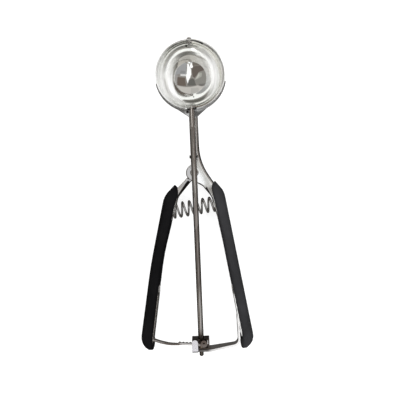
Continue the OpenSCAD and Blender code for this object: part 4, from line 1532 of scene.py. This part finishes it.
@dataclass
class Scraper:
    """The drive shaft with its pinion, and the blade that it turns.

    Args:
        shaft: Radius of the shaft.
        journal: Radius of its lower end.
        spigot: Radius of its upper end, inside the blade.
        shoulder: Where the shaft meets the blade.
        pinion_foot: Where the pinion ends and the journal starts.
        axis_depth: Depth of the shaft's axis.
        chamfer: Chamfer of the shoulder.
        foot: The rounded lower end, as pairs of a distance from it and a share of the journal's radius.
        blade_rounding: Rounding of the blade's edges.
        tooth_rounding: Rounding of the pinion's edges.
    """

    shaft: float = 2.0
    journal: float = 1.5
    spigot: float = 1.2
    shoulder: float = -23.92
    pinion_foot: float = -194.8
    axis_depth: float = 2.6
    chamfer: float = 0.2
    foot: tuple[tuple[float, float], ...] = ((0.0, 0.5), (0.12, 0.72), (0.5, 0.94), (0.9, 1.0))
    blade_rounding: float = 0.1
    tooth_rounding: float = 0.06

    def build(self, drawn: bpy.types.Material, mirror: bpy.types.Material, gear: bpy.types.Material,
              rivet: bpy.types.Material) -> None:
        """Builds and dresses the scraper's pieces.

        Args:
            drawn: Finish of the shaft.
            mirror: Finish of the blade.
            gear: Finish of the pinion and its pin.
            rivet: Finish of the blade's rivet.
        """
        dress(self.rod(), drawn, Body.SCRAPER, ["drive_shaft"])
        blade = eased_copy("scraper_blade", "scraper_bow", self.blade_rounding, 0.1, 40.0)
        dress(blade, mirror, Body.SCRAPER, ["scraper_blade"])
        pinion = eased_copy("pinion", "pinion_gear", self.tooth_rounding, 0.5)
        dress(pinion, gear, Body.SCRAPER, ["pinion"])
        dress_node("pinion_pin", gear)
        dress_node("blade_rivet", rivet)

    def rod(self) -> bpy.types.Object:
        """The shaft with its shoulder, its journal and their small chamfers.

        Returns:
            The shaft.
        """
        low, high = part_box("drive_shaft")
        start, end = low.y / MM, high.y / MM
        piece = Turning("shaft_rod", (
            *((start + along, self.journal * share) for along, share in self.foot),
            (self.pinion_foot, self.journal),
            (self.pinion_foot + 0.01, self.shaft - 0.01), (self.pinion_foot + 0.02, self.shaft),
            (self.shoulder - self.chamfer, self.shaft), (self.shoulder, self.shaft - self.chamfer),
            (self.shoulder + 0.01, self.spigot), (end, self.spigot),
        ), (0.0, 0.0, -self.axis_depth), sides=64).build()
        shade(piece, 35)
        return piece


# ---------- Gear box and its arms ----------


@dataclass
class GearEnd:
    """The pieces between the ends of the handles.

    Args:
        edge: Rounding of the box's and the bearing strip's edges.
        rack_edge: Rounding of the rack's edges.
    """

    edge: float = 0.16
    rack_edge: float = 0.1

    def build(self, strip: bpy.types.Material, rack: bpy.types.Material, box: bpy.types.Material,
              rivet: bpy.types.Material) -> None:
        """Builds and dresses the bracket, the two arms and their rivets.

        Args:
            strip: Finish of the bearing arm.
            rack: Finish of the rack arm.
            box: Finish of the bracket.
            rivet: Finish of the rivets.
        """
        dress(eased_copy("gear_bracket", "gear_box_bracket", self.edge), box, Body.FRAME,
              ["gear_bracket"])
        dress(eased_copy("bearing_arm", "bearing_strip", self.edge), strip, Body.FRAME,
              ["bearing_arm"])
        dress(eased_copy("rack_arm", "rack_strip", self.rack_edge), rack, Body.LEVER,
              ["rack_arm"])
        dress_node("bearing_arm_rivets", rivet)
        dress_node("rack_rivets", rivet)


@dataclass
class SmallParts:
    """The shaft's guide and the seats of the spring.

    Args:
        edge: Rounding of their edges.
    """

    edge: float = 0.15

    def build(self, clip: bpy.types.Material, steel: bpy.types.Material) -> None:
        """Builds and dresses them.

        Args:
            clip: Finish of the guide.
            steel: Finish of the seats.
        """
        for node, name, body, finish in (("shaft_guide", "shaft_guide_clip", Body.FRAME, clip),
                                         ("right_spring_seat", "right_seat_cup", Body.FRAME, steel),
                                         ("left_spring_seat", "left_seat_cup", Body.LEVER, steel)):
            dress(eased_copy(node, name, self.edge), finish, body, [node])


# ---------- Studio ----------


def only_reflected(card: bpy.types.Object, colour: tuple[float, float, float]) -> None:
    """Makes an object glow evenly, seen in reflections alone.

    Args:
        card: The object.
        colour: Its colour.
    """
    material = bpy.data.materials.new(card.name)
    material.use_nodes = True
    tree = material.node_tree
    tree.nodes.clear()
    glow = put(tree, "ShaderNodeEmission", {"Color": (*colour, 1.0), "Strength": 1.0})
    put(tree, "ShaderNodeOutputMaterial", {"Surface": glow.outputs[0]})
    card.data.materials.clear()
    card.data.materials.append(material)
    for ray in ("camera", "diffuse", "transmission", "shadow", "volume_scatter"):
        setattr(card, f"visible_{ray}", False)


def build_card(name: str, corners: Sequence[Vector], colour: tuple[float, float, float]) -> None:
    """Builds a flat card that only reflections show, as a part of the studio.

    Args:
        name: Name of the card.
        corners: Its corners in metres.
        colour: Its colour.
    """
    deselect_all()
    bpy.ops.mesh.primitive_circle_add(vertices=len(corners), radius=0.1, fill_type="NGON")
    card = bpy.context.active_object
    card.name = name
    with edit_mode(card, "VERT") as mesh:
        mesh.verts.ensure_lookup_table()
        for vertex, corner in zip(mesh.verts, corners):
            vertex.co = corner
        bmesh.update_edit_mesh(card.data)
    only_reflected(card, colour)


@dataclass(frozen=True)
class RoomCard:
    """A level card over the scoop, such as a softbox or a dark wall.

    Args:
        name: Name of the card.
        height: How high it hangs, in metres.
        corners: Its corners as seen from the bowl, in degrees off the zenith to the right and to the
            far side.
        colour: Its colour.
    """

    name: str
    height: float
    corners: tuple[tuple[float, float], ...]
    colour: tuple[float, float, float]

    def place(self, right: float, far: float) -> Vector:
        """Where a direction meets the card.

        Args:
            right: Degrees off the zenith to the right.
            far: Degrees off the zenith to the far side.

        Returns:
            The point, in metres.
        """
        off = math.hypot(right, far)
        reach = self.height * math.tan(math.radians(off)) / max(off, 1e-6)
        return Vector((right * reach, far * reach, self.height))

    def build(self) -> None:
        """Builds the card."""
        build_card(self.name, [self.place(*corner) for corner in self.corners], self.colour)


@dataclass(frozen=True)
class LowCard:
    """A small level card close over the scoop, seen only in reflections, which paints a highlight on the part
    under it.

    Args:
        name: Name of the card.
        height: How high it hangs, in millimetres.
        corners: Its corners in millimetres.
        colour: Its colour.
    """

    name: str
    height: float
    corners: tuple[tuple[float, float], ...]
    colour: tuple[float, float, float]

    def build(self) -> None:
        """Builds the card."""
        build_card(self.name, [Vector((*corner, self.height)) * MM for corner in self.corners], self.colour)


ROOM = (
    RoomCard("ceiling", 1.30, ((-66, -66), (66, -66), (66, 66), (-66, 66)), (0.296, 0.278, 0.261)),
    RoomCard("far_wall", 1.28, ((-66, 27), (-38, 26), (-24, 21), (52, 22), (66, 18), (50, 58), (20, 72),
                                (-20, 72), (-50, 58)), (0.574, 0.548, 0.522)),
    RoomCard("far_wall_middle", 1.26, ((-24, 60), (-26, 30), (0, 28), (4, 60)), (0.487, 0.47, 0.452)),
    RoomCard("far_edge", 1.24, ((-62, 27), (-36, 27), (-24, 21), (-30, 17), (-60, 20)),
             (0.191, 0.183, 0.174)),
    RoomCard("left_wall", 1.26, ((-66, 22), (-30, 18), (-16, 8), (-14, 2), (-32, -24), (-50, -24),
                                 (-66, -18)), (0.278, 0.27, 0.252)),
    RoomCard("left_glow", 1.24, ((-14, 1), (-22, -1), (-40, -8), (-42, -20), (-30, -23)),
             (0.418, 0.418, 0.383)),
    RoomCard("left_glow_core", 1.22, ((-16, -2), (-25, -5), (-33, -12), (-31, -21)), (0.574, 0.566, 0.522)),
    RoomCard("centre_shade", 1.26, ((-18, 20), (-12, -2), (-5, -6), (4, -2), (10, 8), (12, 20)),
             (0.148, 0.144, 0.135)),
    RoomCard("brown_panel", 1.24, ((17, 21), (48, 21), (48, -8), (20, -8)), (0.161, 0.131, 0.113)),
    RoomCard("right_wall", 1.26, ((48, 21), (66, 18), (66, -20), (46, -12)), (0.365, 0.348, 0.339)),
    RoomCard("right_grey", 1.25, ((14, -20), (44, -19), (60, -10), (60, -40), (36, -60), (12, -60)),
             (0.365, 0.365, 0.374)),
    RoomCard("right_shade", 1.23, ((20, -22), (40, -22), (34, -32), (18, -30)), (0.287, 0.287, 0.296)),
    RoomCard("left_brown", 1.24, ((-14, -6), (-7, -12), (-5, -40), (-14, -46), (-50, -44), (-52, -27),
                                  (-32, -25)), (0.148, 0.126, 0.113)),
    RoomCard("near_wall", 1.22, ((-46, -46), (-12, -47), (0, -47), (0, -75), (-40, -66)), (0.19, 0.17, 0.15)),
    RoomCard("near_wall_right", 1.20, ((12, -58), (40, -58), (30, -72), (0, -75)), (0.24, 0.22, 0.195)),
    RoomCard("strip_softbox", 0.31, ((11, 14), (15, 0), (17, -12), (14, -24), (12, -38), (11, -57), (5, -57),
                                     (2, -45), (-3, -36), (-3, -20), (2, -8), (8, 2)), (1.15, 1.15, 1.16)),
    RoomCard("near_softbox", 0.33, ((-9, -41), (1, -41), (1, -50), (-9, -50)), (0.9, 0.9, 0.92)),
    RoomCard("bar_softbox", 0.32, ((15, -13), (38, -13), (38, -19), (14, -20)), (0.739, 0.739, 0.748)),
)

# Glowing cards just over single parts, seen only in reflections: painted highlights on the shaft, the frame's
# flange, the hinge's ear, the lever's strap and the spring.
LOW_CARDS = (
    LowCard("shaft_glow", 12.0, ((-5.3, -21), (-1.2, -21), (-1.2, -35), (-5.3, -35)), (1.7, 1.7, 1.7)),
    LowCard("flange_highlight_card", 30.0, ((-2, -60), (6, -56), (10, -67), (15, -78), (22, -92), (26, -106),
                                     (14, -106), (-2, -88)), (0.58, 0.58, 0.56)),
    LowCard("flange_glow", 29.0, ((0, -63), (3, -65), (8, -74), (9, -84), (0, -84)), (1.25, 1.28, 1.32)),
    LowCard("ear_highlight_card", 30.0, ((-12, -62), (-2, -60), (-2, -76), (-9, -80)), (0.62, 0.62, 0.64)),
    LowCard("strap_highlight_card", 30.0, ((-11, -75), (-7, -79), (-22, -100), (-25, -98)), (0.6, 0.6, 0.6)),
    LowCard("left_spring_highlight_card", 14.0, ((-26, -88), (-8, -88), (-8, -112), (-26, -112)), (0.7, 0.7, 0.7)),
    LowCard("right_spring_highlight_card", 14.0, ((8, -94), (26, -100), (26, -110), (8, -110)), (0.7, 0.7, 0.7)),
)


@dataclass
class Studio:
    """The camera, the floor, the lamps and the cards round the scoop.

    Args:
        eye: Place of the camera in millimetres.
        roll: Its turn in degrees.
        lens: Its lens in millimetres.
        sensor: Width of its sensor in millimetres.
        floor_folds: Where the floor's tilted stretch under the scoop starts and ends, and where the slope
            beyond it reaches the level floor again, in millimetres along Y.
        heel: Place along Y behind which the grips touch the floor, in millimetres.
        flag_colour: Colour of the dark flags.
        floor_glow: Brightness of the floor as the camera sees it.
        floor_mirrored: Share of that which reflections see.
        floor_light: Brightness of the floor as a source of light.
        floor_shadow: Strength of the shadows on it.
        daylight: Brightness of the even light all round.
    """

    eye: tuple[float, float, float] = (3.27, -89.87, 290.0)
    roll: float = -2.32
    lens: float = 36.71
    sensor: float = 36.0
    floor_folds: tuple[float, float, float] = (30.0, -215.0, -320.0)
    heel: float = -140.0
    flag_colour: tuple[float, float, float] = (0.09, 0.085, 0.08)
    floor_glow: float = 0.82
    floor_mirrored: float = 0.35
    floor_light: float = 0.8
    floor_shadow: float = 0.3
    daylight: float = 0.85

    def build(self) -> None:
        """Builds the whole studio."""
        self.camera()
        self.floor()
        self.lamps()
        self.world()
        for card in (*ROOM, *LOW_CARDS):
            card.build()
        self.flags()

    def camera(self) -> None:
        """The camera, looking straight down on the scoop."""
        data = bpy.data.cameras.new("overhead_camera")
        data.lens = self.lens
        data.sensor_width = self.sensor
        data.clip_start = 0.01
        camera = bpy.data.objects.new("overhead_camera", data)
        camera.location = Vector(self.eye) * MM
        camera.rotation_euler = (0, 0, math.radians(self.roll))
        bpy.context.scene.collection.objects.link(camera)
        bpy.context.scene.camera = camera

    def floor_tilt(self) -> tuple[float, float]:
        """How the floor lies under the scoop, on the bowl's bottom and the backs of the grips.

        Returns:
            The slope of the floor along Y and its height at the origin, in metres.
        """
        bowl = [vertex.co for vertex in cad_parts["bowl"].data.vertices]
        grips = [vertex.co for node in ("left_grip", "right_grip")
                 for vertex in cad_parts[node].data.vertices if vertex.co.y < self.heel * MM]
        low, high = -0.2, 0.0
        for _ in range(40):
            slope = (low + high) / 2
            under_bowl = min(point.z - slope * point.y for point in bowl)
            under_grips = min(point.z - slope * point.y for point in grips)
            low, high = (low, slope) if under_grips > under_bowl else (slope, high)
        return slope, min(under_bowl, under_grips)

    def floor(self) -> None:
        """A plain white floor that carries the scoop's shadow."""
        slope, height = self.floor_tilt()
        deselect_all()
        bpy.ops.mesh.primitive_plane_add(size=3)
        floor = bpy.context.active_object
        floor.name = "studio_floor"
        with edit_mode(floor, "VERT") as mesh:
            for y in self.floor_folds:
                everything = [*mesh.verts, *mesh.edges, *mesh.faces]
                bmesh.ops.bisect_plane(mesh, geom=everything, plane_co=(0, y * MM, 0), plane_no=(0, 1, 0))
            far, near = (y * MM for y in self.floor_folds[:2])
            low = height + slope * far
            for vertex in mesh.verts:
                y = vertex.co.y
                under_scoop = near - 1 * MM < y < far + 1 * MM
                vertex.co.z = height + slope * y if under_scoop else low
            bmesh.update_edit_mesh(floor.data)
        material = bpy.data.materials.new("studio_floor")
        material.use_nodes = True
        tree = material.node_tree
        tree.nodes.clear()
        rays = put(tree, "ShaderNodeLightPath")
        seen = calculate(tree, "MAXIMUM", rays.outputs["Is Camera Ray"], rays.outputs["Is Transmission Ray"])
        mirrored = calculate(tree, "MULTIPLY", rays.outputs["Is Glossy Ray"], self.floor_mirrored)
        share = calculate(tree, "MAXIMUM", seen, mirrored)
        glow = put(tree, "ShaderNodeEmission", {"Color": (1, 1, 1, 1), "Strength": self.floor_glow})
        matte = put(tree, "ShaderNodeBsdfDiffuse", {"Color": (*(self.floor_light,) * 3, 1)})
        veil = put(tree, "ShaderNodeBsdfDiffuse", {"Color": (*(self.floor_shadow,) * 3, 1)})
        both = put(tree, "ShaderNodeAddShader", {0: glow.outputs[0], 1: veil.outputs[0]})
        mix = put(tree, "ShaderNodeMixShader", {0: share, 1: matte.outputs[0], 2: both.outputs[0]})
        put(tree, "ShaderNodeOutputMaterial", {"Surface": mix.outputs[0]})
        floor.data.materials.append(material)
        log.info("floor slope %.4f, height %.2f mm", slope, height / MM)

    def flags(self) -> None:
        """Dark cards seen only in reflections, at both sides and under the scoop, which draw the dark edges
        of polished steel: painted dark reflections, the one under the scoop standing for the shade on the
        floor beneath it.
        """
        slope, height = self.floor_tilt()
        lift = 0.5 * MM
        upright = (0, math.radians(90), 0)
        for name, size, place, turn in (
            ("left_flag", (0.7, 3.0), (-1.2, -0.09, 0.02), upright),
            ("right_flag", (0.7, 3.0), (1.2, -0.09, 0.02), upright),
            ("left_near_flag", (0.05, 0.10), (-0.062, -0.078, 0.0), upright),
            ("right_near_flag", (0.05, 0.075), (0.062, -0.068, 0.0), upright),
            ("under_flag", (0.5, 0.5), (0, -0.09, height - slope * 0.09 + lift), (math.atan(slope), 0, 0)),
        ):
            deselect_all()
            bpy.ops.mesh.primitive_plane_add(size=1, location=place, rotation=turn)
            flag = bpy.context.active_object
            flag.name = name
            flag.scale = (*size, 1)
            settle(flag)
            only_reflected(flag, self.flag_colour)

    def lamps(self) -> None:
        """Two large soft lamps above the scoop."""
        for name, place, size, power in (("left_softbox", (-0.5, 0.15, 0.75), 0.5, 4.8),
                                         ("right_softbox", (0.55, -0.25, 0.7), 0.5, 6.6)):
            data = bpy.data.lights.new(name, "AREA")
            data.shape = "SQUARE"
            data.size = size
            data.energy = power
            lamp = bpy.data.objects.new(name, data)
            lamp.location = place
            lamp.rotation_euler = (Vector(place) - Vector((0, -0.09, 0))).to_track_quat("Z", "Y").to_euler()
            lamp.visible_glossy = False
            bpy.context.scene.collection.objects.link(lamp)

    def world(self) -> None:
        """White surroundings for the camera and for reflections, and an even light for the rest."""
        world = bpy.data.worlds.new("studio")
        bpy.context.scene.world = world
        world.use_nodes = True
        tree = world.node_tree
        tree.nodes.clear()
        rays = put(tree, "ShaderNodeLightPath")
        shown = calculate(tree, "MAXIMUM", rays.outputs["Is Camera Ray"], rays.outputs["Is Glossy Ray"])
        seen = calculate(tree, "MAXIMUM", shown, rays.outputs["Is Transmission Ray"])
        light = put(tree, "ShaderNodeBackground", {"Color": (1, 1, 1, 1), "Strength": self.daylight})
        white = put(tree, "ShaderNodeBackground", {"Color": (1, 1, 1, 1), "Strength": 1.0})
        mix = put(tree, "ShaderNodeMixShader", {0: seen, 1: light.outputs[0], 2: white.outputs[0]})
        put(tree, "ShaderNodeOutputWorld", {"Surface": mix.outputs[0]})


def main() -> None:
    """Builds the scoop's pieces and the studio round them."""
    logging.basicConfig(level=logging.INFO, format="%(message)s")
    deselect_all()
    pressed, rivet = PRESSED_STEEL.build(), RIVET_STEEL.build()
    Bowl().build(BOWL_MIRROR.build(), CRADLE_STEEL.build(), rivet)
    right = HandleEdge("frame_channel", 1, -98.0, -158.0)
    left = HandleEdge("lever_channel", -1, -98.0, -158.0)
    PressedChannel("frame_channel", "frame_pressing", Body.FRAME, 1, right, bend=2.2, inner_bend=1.2,
                   lip=0.8).build(FRAME_STEEL.build())
    PressedChannel("lever_channel", "lever_pressing", Body.LEVER, -1, left, bend=0.9, inner_bend=0.3,
                   lip=0.95).build(LEVER_STEEL.build())
    # The right grip takes the rubber's painted-light copy, the left its painted-shade copy.
    Grip("right_grip", "right_grip_sleeve", Body.FRAME, right).build(LIT_SIDE_RUBBER.build())
    Grip("left_grip", "left_grip_sleeve", Body.LEVER, left).build(SHADED_SIDE_RUBBER.build())
    Hinge().build(rivet)
    ReturnSpring().build(WIRE_STEEL.build())
    Scraper().build(SHAFT_STEEL.build(), BLADE_STEEL.build(), GEAR_STEEL.build(), rivet)
    GearEnd().build(STRIP_STEEL.build(), RACK_STEEL.build(), BOX_STEEL.build(), rivet)
    SmallParts().build(CLIP_STEEL.build(), pressed)
    Studio().build()
    bpy.context.scene.view_settings.view_transform = "Standard"


if __name__ == "__main__":
    main()
